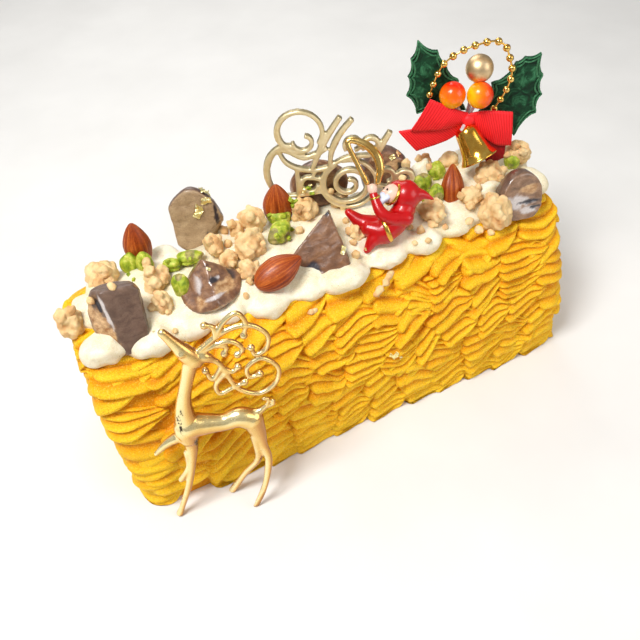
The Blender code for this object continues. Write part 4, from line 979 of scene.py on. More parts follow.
def make_almonds(look):
    t = np.cos(np.linspace(0.0, math.pi, ALMOND_RINGS))
    angle = np.linspace(0.0, math.tau, ALMOND_SIDES, endpoint=False)
    tt, aa = np.meshgrid(t, angle, indexing="ij")
    ring = np.sqrt(np.maximum(1.0 - tt ** 2, 0.0))
    taper = 1.0 - 0.40 * np.maximum(tt, 0.0) ** 1.6 - 0.05 * tt
    faces = grid_faces(ALMOND_RINGS, ALMOND_SIDES, closed=True)
    for number, (matrix, length, width, thickness) in enumerate(ALMONDS, start=1):
        wander = skin_noise(aa, tt, number * 3.0, 2.0, 1.2, 4)
        bent = aa + 0.10 * wander
        rib = 0.5 + 0.5 * skin_noise(bent, tt, number * 2.0, 9.0, 1.1, 6)
        fine = 0.5 + 0.5 * skin_noise(bent, tt, number * 2.0, 22.0, 1.6, 7)
        rib = np.clip(0.62 * rib + 0.38 * fine, 0.0, 1.0)
        push = 1.0 + 0.035 * (rib - 0.5) + 0.03 * wander
        points = np.stack([np.cos(aa) * ring * 0.5 * width * taper * push,
                           np.sin(aa) * ring * 0.5 * thickness * taper * push,
                           tt * 0.5 * length], -1).reshape(-1, 3)
        shape_piece(f"whole_almond_{number}", (moved(points, matrix), faces), look, [f"almond_{number}"],
                    {"ridge": rib.ravel()})


# Each pistachio's x, y, lift over the log's section, and radii
PISTACHIOS = ((-76, 16.5, 4.0, (3.9, 3.4, 5.8)), (-71, 12, 4.5, (3.4, 3.0, 5.2)),
              (-62, 5, 4.5, (3.6, 3.0, 3.0)), (-62.5, -8.5, 4.5, (3.5, 3.2, 6.2)),
              (-54.5, 6, 4.5, (5.6, 3.2, 2.8)), (-12.5, 15.5, 4.5, (5.4, 4.0, 4.2)),
              (-17.5, 2.5, 5.0, (6.4, 4.0, 4.2)), (50, 4, 4.5, (4.0, 3.6, 5.2)),
              (60, 8.5, 5.0, (3.8, 3.4, 4.4)), (51, -5.5, 4.0, (3.0, 3.4, 5.0)),
              (93, -1, 4.5, (3.8, 3.6, 4.0)))

# Each crumble's x, y, lift over the log's section, and size
CRUMBLES = ((-87.5, 14.5, 3.5, 7.6), (-104, -4, 1.0, 6.2), (-69.5, 0.5, 3.5, 6.0),
            (-44, 7, 6.0, 5.2), (-41.5, -2, 4.0, 4.8), (-31.5, 0.5, 5.0, 7.8),
            (-31.5, 15.5, 4.5, 4.4), (-36, -10.5, 3.5, 4.8), (-24.5, 15.5, 7.0, 6.2),
            (-2.5, 11.5, 6.0, 5.8), (-71, -11, 3.0, 4.5), (44.5, -12.5, 4.0, 6.2),
            (70, -21.5, 3.5, 8.6), (78, -5.5, 5.0, 7.4), (97, 0.5, 7.0, 6.4),
            (63.5, -12.5, 4.5, 5.4), (61.5, 20.5, 5.0, 5.2), (11.5, -9, 2.5, 4.6),
            (14, 12, 4.0, 5.0), (71, 16, 3.0, 6.0))


def lump(centre, radii, seed, roughness, turn, lump_size):
    """A rounded lump with uneven knobs, the same as in the solids."""
    points, faces = unit_ball(5)
    offset = Vector((seed * 7.3, seed * 3.1, seed * 5.7))
    scale = max(radii) / lump_size * 1.6
    knob = np.array([noise.noise(Vector(point) * scale + offset) for point in points])
    return points * np.array(radii) * (1.0 + roughness * knob)[:, None], faces, place(centre, yaw=turn)


def make_pistachios(look):
    draw = random.Random(5)
    for number, (x, y, lift, radii) in enumerate(PISTACHIOS, start=1):
        points, faces, matrix = lump(on_top(x, y, lift), radii, number, 0.16, draw.uniform(-40, 40), 9.0)
        mesh = mesh_of(f"pistachio_{number}", points, faces)
        out = normals(mesh)
        long_axis = int(np.argmax(radii))
        side_axis = 0 if long_axis == 2 else 2
        crease = np.exp(-(points[:, side_axis] / (0.22 * radii[side_axis])) ** 2) * (points[:, 1] < 1.0)
        fibres = grain(points * np.array([1, 1, 0.3]), 0.9, number + 1)
        chip = 0.30 * grain(points, 2.6, number) + 0.10 * fibres - 0.55 * crease
        skin = 0.9 * smooth((grain(points, 5.0, number + 9) - 0.28) / 0.2)
        set_coordinates(mesh, moved(points + out * chip[:, None], matrix))
        piece_from(f"pistachio_kernel_{number}", mesh, look, [f"pistachio_{number}"],
                   {"skin": skin})


def any_direction(draw):
    direction = draw.normal(size=3)
    return direction / np.linalg.norm(direction)


def granules(centre, radii, draw, share=1.0):
    """Rounded grains packed in an ellipsoid."""
    centre, radii = np.array(centre, float), np.array(radii, float)
    shapes = [round_shape(Matrix.Translation(centre), radii * 0.72, 3)]
    for _ in range(4):
        point = centre + any_direction(draw) * radii * 0.42
        shapes.append(round_shape(Matrix.Translation(point), radii * draw.uniform(0.42, 0.6, 3), 3))
    for _ in range(int(share * 9 * float(np.mean(radii)))):
        direction = any_direction(draw)
        size = draw.uniform(0.17, 0.36) * float(np.mean(radii))
        size = min(max(size, 0.7), 2.1)
        point = centre + direction * (radii * draw.uniform(0.66, 0.92) - 0.55 * size)
        shapes.append(round_shape(Matrix.Translation(point), size * draw.uniform(0.8, 1.25, 3), 2))
    return shapes


def make_crumbles(look):
    spread = random.Random(8)
    draw = np.random.default_rng(31)
    for number, (x, y, lift, size) in enumerate(CRUMBLES, start=1):
        radii = [size * spread.uniform(0.85, 1.1) for _ in range(3)]
        # The solids turn each lump by one more draw, which is made here too so that the sizes agree
        spread.uniform(0, 90)
        centre = np.array(on_top(x, y, lift))
        mesh = remeshed(f"crumble_{number}", granules(centre, radii, draw), voxel=0.52, rounds=1)
        points, out = coordinates(mesh), normals(mesh)
        points = points + out * (0.50 * grain(points, 2.0, 4) + 0.26 * grain(points, 0.9, 5))[:, None]
        set_coordinates(mesh, points)
        # Painted shade: the knob value falls towards the middle, so the hollows between the grains are
        # painted darker, with a random tone from the noise
        reach = np.linalg.norm(points - centre, axis=1) / size
        knob = np.clip(0.25 + 0.6 * (reach - 0.6) / 0.5 + 0.35 * grain(points, 2.2, 9), 0.0, 1.0)
        piece_from(f"baked_crumble_{number}", mesh, look, [f"crumble_{number}"], {"knob": knob})


# Loose crumbs, chips and gold leaf: each lies where a line of sight meets the cake

CAMERA_PLACE = (-0.0895, -0.2016, 0.2529)
CAMERA_RIGHT = (0.8996, -0.4344, -0.0456)
CAMERA_DOWN = (-0.3412, -0.6336, -0.6943)
CAMERA_AHEAD = (0.2727, 0.6401, -0.7182)
# Focal length in the picture's pixels, the picture's width in pixels and the sensor's in millimetres
CAMERA_REACH = 681.5
PICTURE_WIDTH = 640
SENSOR_WIDTH = 36

# Column and row in the picture, and size in millimetres
SMALL_CRUMBS = ((62, 318, 3.0), (70, 312, 2.2), (98, 282, 2.5), (104, 272, 3.0), (112, 288, 1.8),
                (92, 300, 1.6), (146, 262, 2.2), (150, 272, 2.4), (155, 284, 2.6), (158, 296, 2.2),
                (152, 308, 1.8), (163, 303, 1.7), (168, 312, 1.6), (176, 331, 1.3), (210, 243, 2.4),
                (224, 232, 2.4), (228, 245, 2.0), (232, 262, 2.2), (240, 272, 2.2), (250, 282, 1.8),
                (246, 296, 1.4), (233, 225, 2.4), (250, 218, 2.4), (262, 245, 1.7), (300, 208, 2.4),
                (297, 220, 2.4), (300, 232, 2.0), (308, 216, 2.0), (330, 192, 1.6), (346, 222, 1.8),
                (351, 232, 2.0), (353, 243, 1.8), (355, 256, 1.8), (409, 228, 1.8), (421, 232, 2.2),
                (432, 225, 2.4), (440, 215, 2.0), (428, 241, 1.5), (445, 228, 1.6), (415, 243, 1.4),
                (405, 165, 2.4), (412, 152, 2.4), (420, 160, 2.2), (430, 168, 1.8), (402, 180, 1.8),
                (462, 195, 2.0), (470, 205, 2.2), (468, 222, 2.0), (478, 230, 2.0), (490, 233, 1.8),
                (485, 180, 2.4), (478, 188, 1.8), (500, 178, 1.8), (515, 147, 2.6), (522, 152, 2.2),
                (508, 155, 1.8), (389, 277, 1.6), (385, 283, 2.0), (379, 290, 1.9), (376, 294, 1.3),
                (391, 273, 1.1), (311, 313, 1.5), (315, 311, 1.1))
SMALL_CHIPS = ((290, 200, 1.2), (296, 202, 1.0), (293, 206, 0.9), (308, 189, 1.1), (312, 193, 1.0),
               (270, 214, 1.1), (283, 216, 1.1), (288, 238, 1.0), (277, 236, 1.2), (292, 230, 0.9),
               (420, 186, 1.1), (428, 192, 1.0), (436, 178, 1.1), (424, 201, 0.9), (129, 275, 0.9),
               (134, 280, 0.8), (168, 262, 1.0), (190, 259, 0.9))
GOLD_LEAVES = ((204, 193, 2.6), (206, 200, 2.0), (208, 190, 1.6), (199, 209, 2.0), (197, 215, 1.6),
               (343, 250, 1.6), (397, 153, 1.4), (392, 157, 1.1), (402, 151, 0.8), (392, 357, 1.5),
               (396, 355, 1.3), (400, 358, 0.9), (304, 190, 1.2), (310, 186, 0.9), (208, 269, 0.7),
               (154, 332, 0.6), (366, 249, 0.6))


def seen_at(column, row):
    """The point and normal where a line of sight first meets the cake."""
    right = Vector(CAMERA_RIGHT) * ((column - PICTURE_WIDTH / 2) / CAMERA_REACH)
    down = Vector(CAMERA_DOWN) * ((row - PICTURE_WIDTH / 2) / CAMERA_REACH)
    direction = (Vector(CAMERA_AHEAD) + right + down).normalized()
    graph = bpy.context.evaluated_depsgraph_get()
    cast = bpy.context.scene.ray_cast(graph, Vector(CAMERA_PLACE), direction)
    hit, point, normal, _index, found, _matrix = cast
    if not hit or found.name == "floor":
        return None
    return point / MM, normal


def seen_places(table):
    """The rows of a table whose line of sight meets the cake, each with its point and normal."""
    for column, row, size in table:
        found = seen_at(column, row)
        if found:
            yield column, row, size, *found


def make_small_crumbs(look):
    draw = np.random.default_rng(12)
    shapes = []
    for _column, _row, size, point, normal in seen_places(SMALL_CRUMBS):
        centre = point + normal * size * 0.35
        shapes += granules(centre, size * draw.uniform(0.85, 1.15, 3), draw, 1.3)
    mesh = remeshed("small_crumbs", shapes, voxel=0.44, rounds=1)
    points, out = coordinates(mesh), normals(mesh)
    points = points + out * (0.22 * grain(points, 1.5, 4))[:, None]
    set_coordinates(mesh, points)
    knob = np.clip(0.55 + 0.5 * grain(points, 3.0, 9), 0.0, 1.0)
    piece_from("small_crumbs", mesh, look, (), {"knob": knob})


def make_small_chips(look):
    """Flat-sided chips of pistachio."""
    draw = np.random.default_rng(14)
    shapes = []
    for _column, _row, size, point, normal in seen_places(SMALL_CHIPS):
        turn = Matrix.Rotation(draw.uniform(0, 6), 4, "Z") @ Matrix.Rotation(draw.uniform(0, 6), 4, "X")
        points, faces = unit_ball(3)
        points = np.clip(points, -0.62, 0.62) * size * 1.5 * draw.uniform([0.8, 0.5, 0.5], [1.3, 0.9, 0.9])
        shapes.append((moved(points, Matrix.Translation(point + normal * size * 0.3) @ turn), faces))
    points, faces = joined(shapes)
    shape_piece("small_chips", (points, faces), look, (), {"skin": np.zeros(len(points))})


def make_gold_leaves(look):
    """Crumpled scraps of gold leaf."""
    draw = np.random.default_rng(17)
    shapes = []
    side = 13
    u, v = np.meshgrid(np.linspace(-1, 1, side), np.linspace(-1, 1, side), indexing="ij")
    for column, row, size, point, normal in seen_places(GOLD_LEAVES):
        turn = normal.to_track_quat("Z", "Y").to_matrix().to_4x4()
        turn = turn @ Matrix.Rotation(draw.uniform(0, 6), 4, "Z")
        flat = np.stack([u, v * draw.uniform(0.5, 0.9), np.zeros_like(u)], -1).reshape(-1, 3) * size
        flat = flat * (1.0 + 0.35 * grain(flat + column, 1.1, 2))[:, None]
        flat[:, 2] = 0.35 + 0.45 * np.abs(grain(flat + row, 1.0, 3)) * size
        shapes.append((moved(flat, Matrix.Translation(point) @ turn), grid_faces(side, side).tolist()))
    shape_piece("gold_leaf_scraps", joined(shapes), look, ())


# Deer ornament

DEER_FRAME = place((-92.5, -49.0, -0.7), yaw=14, lean=7)
DEER_FLATTEN = 0.86
# The direction of the painted light, whose side is painted bright, and the worn spots' middles, half widths
# and half heights
DEER_LIGHT = (-0.62, -0.40, 0.68)
DEER_SPOTS = ((11.0, 55.5, 0.8, 4.2), (15.0, 44.2, 0.9, 2.6), (25.5, 46.9, 6.5, 0.9), (12.6, 60.5, 0.5, 1.4))


def make_deer(look):
    thick = {
        "torso": ([(12.4, 45.4), (13.4, 50.8), (19.3, 50.4), (26.1, 49.4), (31.9, 50.4), (36.3, 48.0)],
                  [4.0, 5.4, 4.4, 3.6, 4.2, 4.5]),
        "neck": ([(13.2, 50.5), (13.3, 58.5), (14.6, 65.5), (17.0, 73.0), (19.8, 81.0)],
                 [5.0, 3.5, 2.6, 2.4, 2.9]),
        "head": ([(21.2, 81.6), (18.8, 85.4), (16.6, 89.4), (14.6, 93.0), (13.3, 95.3)],
                 [3.4, 3.2, 2.3, 1.8, 1.6]),
        "cheek": ([(19.2, 82.4), (16.8, 86.0)], [2.6, 1.7]),
        "ear": ([(21.0, 83.6), (24.8, 82.1), (28.7, 78.7)], [1.6, 2.2, 0.6]),
        "front_leg": ([(12.4, 46.4), (12.4, 39.5), (11.0, 31.5), (8.6, 22.5), (6.1, 15.1), (2.6, 6.6),
                       (0.6, 2.2)],
                      [3.6, 2.5, 1.75, 1.5, 1.35, 1.2, 1.5]),
        "raised_leg": ([(10.4, 46.9), (4.5, 44.3), (-0.9, 39.6)], [2.6, 1.8, 0.9]),
        "raised_hoof": ([(10.3, 37.5), (9.2, 29.0), (5.2, 22.6)], [1.5, 1.2, 1.3]),
        "hind_leg": ([(36.3, 0, 48.0), (37.8, 0, 40.5), (38.6, 0, 33.5), (39.8, -0.3, 26.8),
                      (39.2, -0.8, 21.0), (36.8, -2.4, 12.6), (31.9, -4.4, 2.2)],
                     [4.6, 3.1, 2.0, 1.6, 1.5, 1.25, 1.5]),
        "far_hind_leg": ([(36.8, 0, 39.6), (36.0, 1.4, 24.7), (29.7, 4.0, 14.2), (22.9, 6.2, 2.2)],
                         [2.6, 1.6, 1.4, 1.6]),
        "tail": ([(36.8, 50.5), (40.2, 51.8), (43.0, 54.2)], [2.2, 1.3, 0.8]),
        "tail_tip": ([(42.0, 53.0), (43.6, 56.4), (42.0, 57.4)], [0.8, 0.75, 0.9]),
        "tail_curl": ([(42.0, 53.0), (44.8, 53.6), (45.2, 55.4)], [0.8, 0.75, 0.9]),
    }
    antlers = {
        "upper": [(21.9, 84.1), (29.7, 89.7), (35.9, 92.4), (42.2, 91.8), (46.8, 86.6), (45.6, 80.8),
                  (41.7, 79.0), (40.7, 82.4)],
        "upper_tip": [(29.7, 89.7), (33.0, 95.1), (37.7, 98.1), (40.3, 93.7), (39.0, 88.2)],
        "small_tip": [(29.7, 89.7), (29.5, 94.0), (26.9, 95.3)],
        "inner": [(24.3, 84.6), (31.6, 87.1), (35.4, 86.1), (37.8, 82.6), (35.7, 80.4)],
        "inner_curl": [(28.7, 86.3), (32.5, 84.9), (31.4, 81.9)],
        "lower": [(24.3, 83.6), (29.1, 77.9), (31.0, 71.8), (33.9, 64.6), (40.7, 60.6), (47.0, 64.1),
                  (48.7, 71.3), (43.6, 76.9), (38.2, 73.9), (38.4, 69.2), (42.2, 69.8)],
        "lower_curl": [(29.6, 76.4), (25.7, 71.4), (23.9, 75.9)],
        "loop": [(30.6, 73.4), (26.4, 68.7), (27.1, 64.1), (31.7, 65.6), (36.4, 67.2)],
        "side_curl": [(30.1, 75.4), (32.8, 73.2), (35.1, 74.9)],
    }
    shapes = [swept(points, radii, DEER_FRAME, 20, 6, DEER_FLATTEN) for points, radii in thick.values()]
    for points in antlers.values():
        count = len(points)
        radii = [1.10 - 0.22 * index / (count - 1) for index in range(count)]
        shapes.append(swept(points, radii, DEER_FRAME, 12, 6))
        x, z = points[-1]
        shapes.append(round_shape(DEER_FRAME @ Matrix.Translation((x, 0, z)), (1.45, 1.35, 1.45), 2))
    for depth in (-2.5, 2.5):
        shapes.append(round_shape(DEER_FRAME @ Matrix.Translation((17.9, depth, 86.4)), (1.3, 0.6, 0.8), 3))
    mesh = remeshed("deer", shapes, voxel=0.42, rounds=2)
    points, out = coordinates(mesh), normals(mesh)
    local = moved(points, DEER_FRAME.inverted())
    # Painted light and shade: colour values from each normal's angle to the painted light
    facing = out @ np.array(Vector(DEER_LIGHT).normalized())
    spots = np.full(len(points), 9.0)
    for x, z, wide, high in DEER_SPOTS:
        spots = np.minimum(spots, np.hypot((local[:, 0] - x) / wide, (local[:, 2] - z) / high))
    values = {"painted_light": smooth((facing + 0.02) / 0.96), "worn": smooth((1.3 - spots) / 0.5),
              # Painted warm shade where the normals point down, below the torso's top
              "underside_shade": 0.75 * smooth((-out[:, 2] - 0.15) / 0.5) * smooth((local[:, 2] - 36.0) / 6.0)}
    piece_from("gold_deer", mesh, look, ["deer"], values)


# Scrollwork pick

SCROLL_FRAME = place((13.0, 8.0, 78.0), yaw=PICK_YAW)


def stroke(points, widths):
    """A flat pen stroke with a raised middle, as one closed shape."""
    line = smooth_path(points, 4)
    width = np.interp(np.arange(len(line)), np.linspace(0, len(line) - 1, len(widths)), widths)
    along = np.gradient(line, axis=0)
    along /= np.linalg.norm(along, axis=1)[:, None]
    across = np.column_stack([-along[:, 1], along[:, 0]])
    half = 0.5 * SCROLL_THICKNESS
    bevel = -half + SCROLL_BEVEL
    profile = ((0.5, half), (0.5, bevel), (0.22, -half), (-0.22, -half), (-0.5, bevel), (-0.5, half))
    rings = []
    for share, depth in profile:
        flat = line + across * (share * width)[:, None]
        rings.append(np.column_stack([flat[:, 0], np.full(len(line), depth), flat[:, 1]]))
    points_out = np.stack(rings, axis=1).reshape(-1, 3)
    return moved(points_out, SCROLL_FRAME), tube_faces(len(line), len(profile))


def spiral(centre, start_radius, end_radius, start_degrees, sweep_degrees, count):
    """Points of a curl that tightens around its centre."""
    t = np.linspace(0.0, 1.0, count)
    angle = np.radians(start_degrees + sweep_degrees * t)
    radius = start_radius + (end_radius - start_radius) * t
    return list(zip(centre[0] + radius * np.cos(angle), centre[1] + radius * np.sin(angle)))


def make_scroll_pick(look):
    strokes = [
        (spiral((-15.5, 37.5), 9.0, 8.2, -35, 330, 15), (2.0, 1.6, 2.6, 1.6)),
        (spiral((-14.0, 33.5), 4.4, 2.6, 180, 260, 8), (1.2, 1.8, 1.6)),
        ([(-17.5, 31.5), (-22.5, 31.8), (-27.5, 27.5), (-29.6, 21), (-28.8, 14.5), (-25.5, 8), (-19, 3)],
         (1.4, 2.2, 3.0, 2.6, 1.6, 1.4)),
        ([(-24, 30.5), (-20, 29.5), (-14.5, 26.6), (-9, 28.0), (-5.0, 30.5)], (1.6, 2.4, 1.6)),
        ([(-24.2, 30.5), (-22.0, 25.0), (-17.5, 21.8), (-11.0, 20.5), (-5, 21.5)], (1.4, 2.0, 1.6)),
        ([(-11.5, 20.5), (-8.5, 28), (-5.0, 35), (0.4, 43.5)], (1.6, 2.8, 2.0)),
        ([(-4.2, 22.5), (-3.2, 29), (0.0, 36), (5.0, 42.5)], (1.6, 2.6, 2.0)),
        (spiral((5.2, 31.0), 3.6, 2.2, 215, -290, 9), (1.4, 2.2, 1.4)),
        (spiral((12.3, 31.0), 3.6, 2.2, 215, -290, 9), (1.4, 2.2, 1.4)),
        ([(-5, 21.5), (2, 25.5), (9, 26.2), (15, 26.5)], (1.4, 1.8, 1.4)),
        ([(13.0, 24.0), (15.5, 29), (19.5, 36.5)], (1.4, 2.6, 2.0)),
        (spiral((3.2, 13.4), 11.2, 11.2, 118, 345, 18), (1.5, 1.5)),
        (spiral((3.2, 13.4), 10.6, 1.8, 118, 700, 24), (1.4, 2.2, 2.2, 1.6)),
        (spiral((-12.6, 13.5), 3.9, 3.2, 60, 300, 9), (1.4, 2.4, 1.4)),
        ([(-17.8, 8.0), (-17.2, 14.0), (-17.6, 22.5)], (1.4, 2.2, 1.6)),
        ([(-12.0, 17.0), (-7.6, 15.5), (-6.2, 9.5)], (1.4, 2.2, 1.6)),
        ([(-25.8, 8.6), (-17.8, 8.8), (-12.6, 9.4), (-6.8, 10.4)], (1.4, 1.4)),
        (spiral((18.3, 16.0), 4.0, 2.8, 200, -280, 9), (1.4, 2.4, 1.6)),
        (spiral((26.0, 15.0), 3.8, 2.6, 190, -280, 9), (1.4, 2.4, 1.6)),
        ([(13.6, 12.5), (18.5, 11.2), (24.0, 10.6), (29.5, 12.6)], (1.4, 1.4)),
    ]
    shapes = [stroke(points, widths) for points, widths in strokes]
    shapes.append(slab([(-0.8, 3.4), (1.6, 3.4), (1.0, -9.0), (-0.2, -9.0)], 2.0, SCROLL_FRAME))
    shapes.append(slab([(-10.8, 20.8), (-9.0, 20.8), (-11.2, 16.2), (-12.8, 16.2)], 2.0, SCROLL_FRAME))
    mesh = remeshed("scroll_pick", shapes, voxel=0.38, rounds=1)
    facing = -normals(mesh) @ np.array(SCROLL_FRAME)[:3, 1]
    piece_from("scrollwork_pick", mesh, look, ["scroll_pick"],
               {"face": smooth((facing - 0.2) / 0.5)})


# Figurine

FIGURE_FRAME = place((19.0, -14.5, 83.0), yaw=PICK_YAW, lean=35)


def figure_at(x, depth, z):
    return FIGURE_FRAME @ Matrix.Translation(Vector((x, -depth, z)))


def band_around(centre, axis, radius, thickness):
    """A ring around an axis of the figurine, as one closed shape."""
    turn = np.linspace(0.0, math.tau, 33)
    path = np.column_stack([radius * np.cos(turn), np.zeros(33), radius * np.sin(turn)])
    facing = Vector((axis[0], -axis[1], axis[2])).to_track_quat("Y", "Z").to_matrix().to_4x4()
    return swept(path, thickness, figure_at(*centre) @ facing, 12, 2)


FACE_CENTRE = (4.9, 0.9, 12.2)
FACE_RADIUS = 4.0
# The face looks up and to the left; the second line runs across it, from eye to eye
FACE_AHEAD = Vector((-0.80, 0.42, 0.42)).normalized()
FACE_UP = Vector((0.46, 0.0, 0.89)).normalized()
FACE_ACROSS = FACE_AHEAD.cross(FACE_UP).normalized()


def on_face(across, up, ahead=1.0):
    """A place on the face's ball, from shares of its radius across, up and ahead."""
    offset = FACE_ACROSS * across + FACE_UP * up + FACE_AHEAD * ahead
    return tuple(Vector(FACE_CENTRE) + FACE_RADIUS * offset)


def limb(points, radii, sides=16, steps=5):
    """A tube of the figurine through points given as x, depth and height."""
    return swept(points, radii, FIGURE_FRAME, sides, steps)


def knots_of(places):
    """Points for a tube from places given as x, distance ahead and height."""
    return [(place_on.x, -place_on.y, place_on.z) for place_on in places]


def make_figurine(red, skin, beard, trim, dark):
    robe = [
        round_shape(figure_at(10.3, -0.3, 11.4), (5.9, 5.6, 6.2)),
        round_shape(figure_at(7.6, -0.9, 12.9), (4.8, 4.6, 4.7)),
        limb([(10.6, 0, 11.8), (14.2, 0, 11.4), (17.6, 0, 11.2), (20.8, 0, 9.6)], [5.0, 3.7, 1.8, 0.6]),
        limb([(9.5, 0, 6.0), (6.0, 0, 1.2), (0.5, 0, -2.0), (-4.5, 0, -1.0)], [4.6, 5.0, 5.2, 3.4]),
        limb([(10.0, -3.0, 2.5), (3.5, -4.5, 3.0), (-0.4, -4.5, 6.0), (-2.6, -3.2, 12.2)],
             [3.0, 2.6, 2.3, 1.7]),
        limb([(1.0, 0, -3.0), (-3.0, -1.0, -5.5), (-5.6, -1.0, -9.5)], [5.0, 2.9, 1.5]),
        limb([(-2.0, 2.0, 0.0), (-8.0, 2.0, 2.0), (-12.4, 2.0, 5.6)], [4.2, 3.0, 1.7]),
    ]
    bands = [band_around(FACE_CENTRE, tuple(FACE_AHEAD), 4.35, 0.62),
             band_around((2.4, 0.0, -1.1), (0.93, 0.0, 0.36), 5.25, 0.75),
             band_around((1.9, 0.0, -1.3), (0.93, 0.0, 0.36), 5.15, 0.75),
             band_around((-2.2, 3.3, 11.2), (-0.35, 0.2, 0.95), 1.8, 0.55)]
    face = [round_shape(figure_at(*FACE_CENTRE), (FACE_RADIUS,) * 3),
            round_shape(figure_at(*on_face(0.0, -0.12, 0.98)), (0.85, 0.85, 0.85), 3),
            round_shape(figure_at(*on_face(0.42, -0.25, 0.78)), (0.9, 0.9, 0.9), 3),
            round_shape(figure_at(*on_face(-0.42, -0.25, 0.78)), (0.9, 0.9, 0.9), 3),
            round_shape(figure_at(-3.0, 3.2, 14.4), (2.0, 1.9, 2.2), 3),
            limb([(-3.2, -3.2, 13.6), (-4.6, -3.4, 15.6)], [0.8, 0.6], 10, 3)]
    eyes = [round_shape(figure_at(*on_face(side * 0.36, 0.16, 0.93)), (0.42, 0.42, 0.5), 3)
            for side in (-1, 1)]
    piece_from("figurine_robe", remeshed("robe", robe, 0.45, 3), red, ["figurine"])
    piece_from("figurine_trim", remeshed("trim", bands, 0.35, 2), trim, ["figurine"])
    piece_from("figurine_face", remeshed("face", face, 0.36, 1), skin, ["figurine"])
    shape_piece("figurine_eyes", joined(eyes), dark, ["figurine"])
    mesh = remeshed("beard", beard_locks(), 0.34, 1)
    piece_from("figurine_beard", mesh, beard, ["figurine"])


def beard_locks():
    """A chin of hair with five hanging locks, and a moustache of two."""
    chin = Vector(on_face(0.0, -0.62, 0.66))
    locks = [round_shape(figure_at(*chin), (2.3, 2.2, 2.3))]
    for side in (-0.8, -0.4, 0.0, 0.4, 0.8):
        root = chin + FACE_ACROSS * (side * 2.6) + FACE_UP * (0.6 * abs(side))
        tip = chin + FACE_ACROSS * (side * 1.7) - FACE_UP * (4.4 - 1.6 * abs(side)) + FACE_AHEAD * 0.2
        middle = 0.5 * (root + tip) + FACE_AHEAD * 0.8
        locks.append(limb(knots_of((root, middle, tip)), [1.3, 1.15, 0.45], 12, 4))
    lip = Vector(on_face(0.0, -0.36, 0.94))
    for side in (-1, 1):
        end = Vector(on_face(side * 0.48, -0.52, 0.80))
        middle = 0.5 * (lip + end) + FACE_AHEAD * 0.25
        locks.append(limb(knots_of((lip, middle, end)), [0.62, 0.7, 0.32], 12, 4))
    return locks


HOOP_DEPTH = -3.4
HOOP_PATH = ((-5.2, 17.0), (-9.0, 25.0), (-12.2, 32.4), (-8.5, 32.8), (-4.0, 30.4), (-0.8, 26.6),
             (0.2, 22.0), (-0.8, 17.0))
HOOP_RADII = (1.0, 1.0, 1.1, 1.4, 1.7, 1.8, 1.6, 1.1)


def make_hoop(look):
    path = [(x, HOOP_DEPTH, z) for x, z in HOOP_PATH]
    mesh = remeshed("hoop", [limb(path, HOOP_RADII, 20, 6)], voxel=0.3, rounds=1)
    piece_from("gold_hoop", mesh, look, ["figurine_hoop"])


# Holly pick

HOLLY_FRAME = place((78.6, 10.0, 78.0), yaw=PICK_YAW)
LEAF_DEPTH = -2.5
LEAF_DIP = 0.13
LEAF_THICKNESS = 1.1
# The seam's two rows of stitches: their insets from the edge, radius, and distance from the middle
SEAM_INSETS = (0.7, 2.2)
SEAM_RADIUS = 0.34
SEAM_RISE = 0.62
LEFT_SPIKES = ((-26.2, 56.9), (-18.0, 52.7), (-13.8, 46.9), (-8.0, 39.4), (-3.8, 25.7), (-14.6, 23.0),
               (-25.0, 24.8), (-29.9, 33.3), (-29.7, 42.1), (-28.8, 49.7))
RIGHT_SPIKES = ((23.7, 49.7), (17.6, 48.5), (14.0, 46.4), (5.0, 37.6), (1.2, 24.3), (11.5, 20.0),
                (18.2, 12.1), (26.2, 23.0), (27.4, 31.6), (26.2, 40.4))
BEAD_ARCH = ((-20.3, 35.2), (-18.4, 42.2), (-15.3, 48.3), (-8.2, 53.3), (0.3, 56.0), (4.7, 56.2),
             (8.1, 54.1), (10.3, 49.7), (12.3, 43.0), (11.0, 35.6), (7.2, 27.6))


def holly_at(x, depth, z):
    return HOLLY_FRAME @ Matrix.Translation(Vector((x, -depth, z)))


def leaf_outline(spikes, inset=0.0):
    """A holly leaf's edge: a curved bay between each two spikes."""
    corners = np.array(spikes, float)
    middle = corners.mean(axis=0)
    outline = []
    for start, end in zip(corners, np.roll(corners, -1, axis=0)):
        halfway = 0.5 * (start + end)
        inward = (middle - halfway) / np.linalg.norm(middle - halfway)
        dip = inward * LEAF_DIP * np.linalg.norm(end - start) * 1.5
        for t in np.linspace(0.0, 1.0, 10, endpoint=False):
            outline.append(start + (end - start) * t + dip * (4 * t * (1 - t)) ** 0.8 * 0.75)
    outline = np.array(outline)
    if inset:
        toward = middle - outline
        outline = outline + toward / np.linalg.norm(toward, axis=1)[:, None] * inset
    return outline


def make_leaf(name, node, spikes, velvet, stitching):
    blade = slab(leaf_outline(spikes), LEAF_THICKNESS, holly_at(0, LEAF_DEPTH, 0))
    piece_from(name, remeshed(name, [blade], voxel=0.5, rounds=2), velvet, [node])
    seams = []
    for inset in SEAM_INSETS:
        edge = leaf_outline(spikes, inset)
        for rise in (-SEAM_RISE, SEAM_RISE):
            points = [(x, -LEAF_DEPTH + rise, z) for x, z in np.concatenate([edge[::2], edge[:1]])]
            seams.append(swept(points, SEAM_RADIUS, HOLLY_FRAME, 6, 2))
    shape_piece(name + "_seam", joined(seams), stitching, [node])


def bead_path(count):
    """Evenly spaced places along the arch."""
    arch = smooth_path(BEAD_ARCH, 8)
    length = np.concatenate([[0.0], np.cumsum(np.linalg.norm(np.diff(arch, axis=0), axis=1))])
    stops = np.linspace(0.0, length[-1], count)
    return list(zip(np.interp(stops, length, arch[:, 0]), np.interp(stops, length, arch[:, 1])))


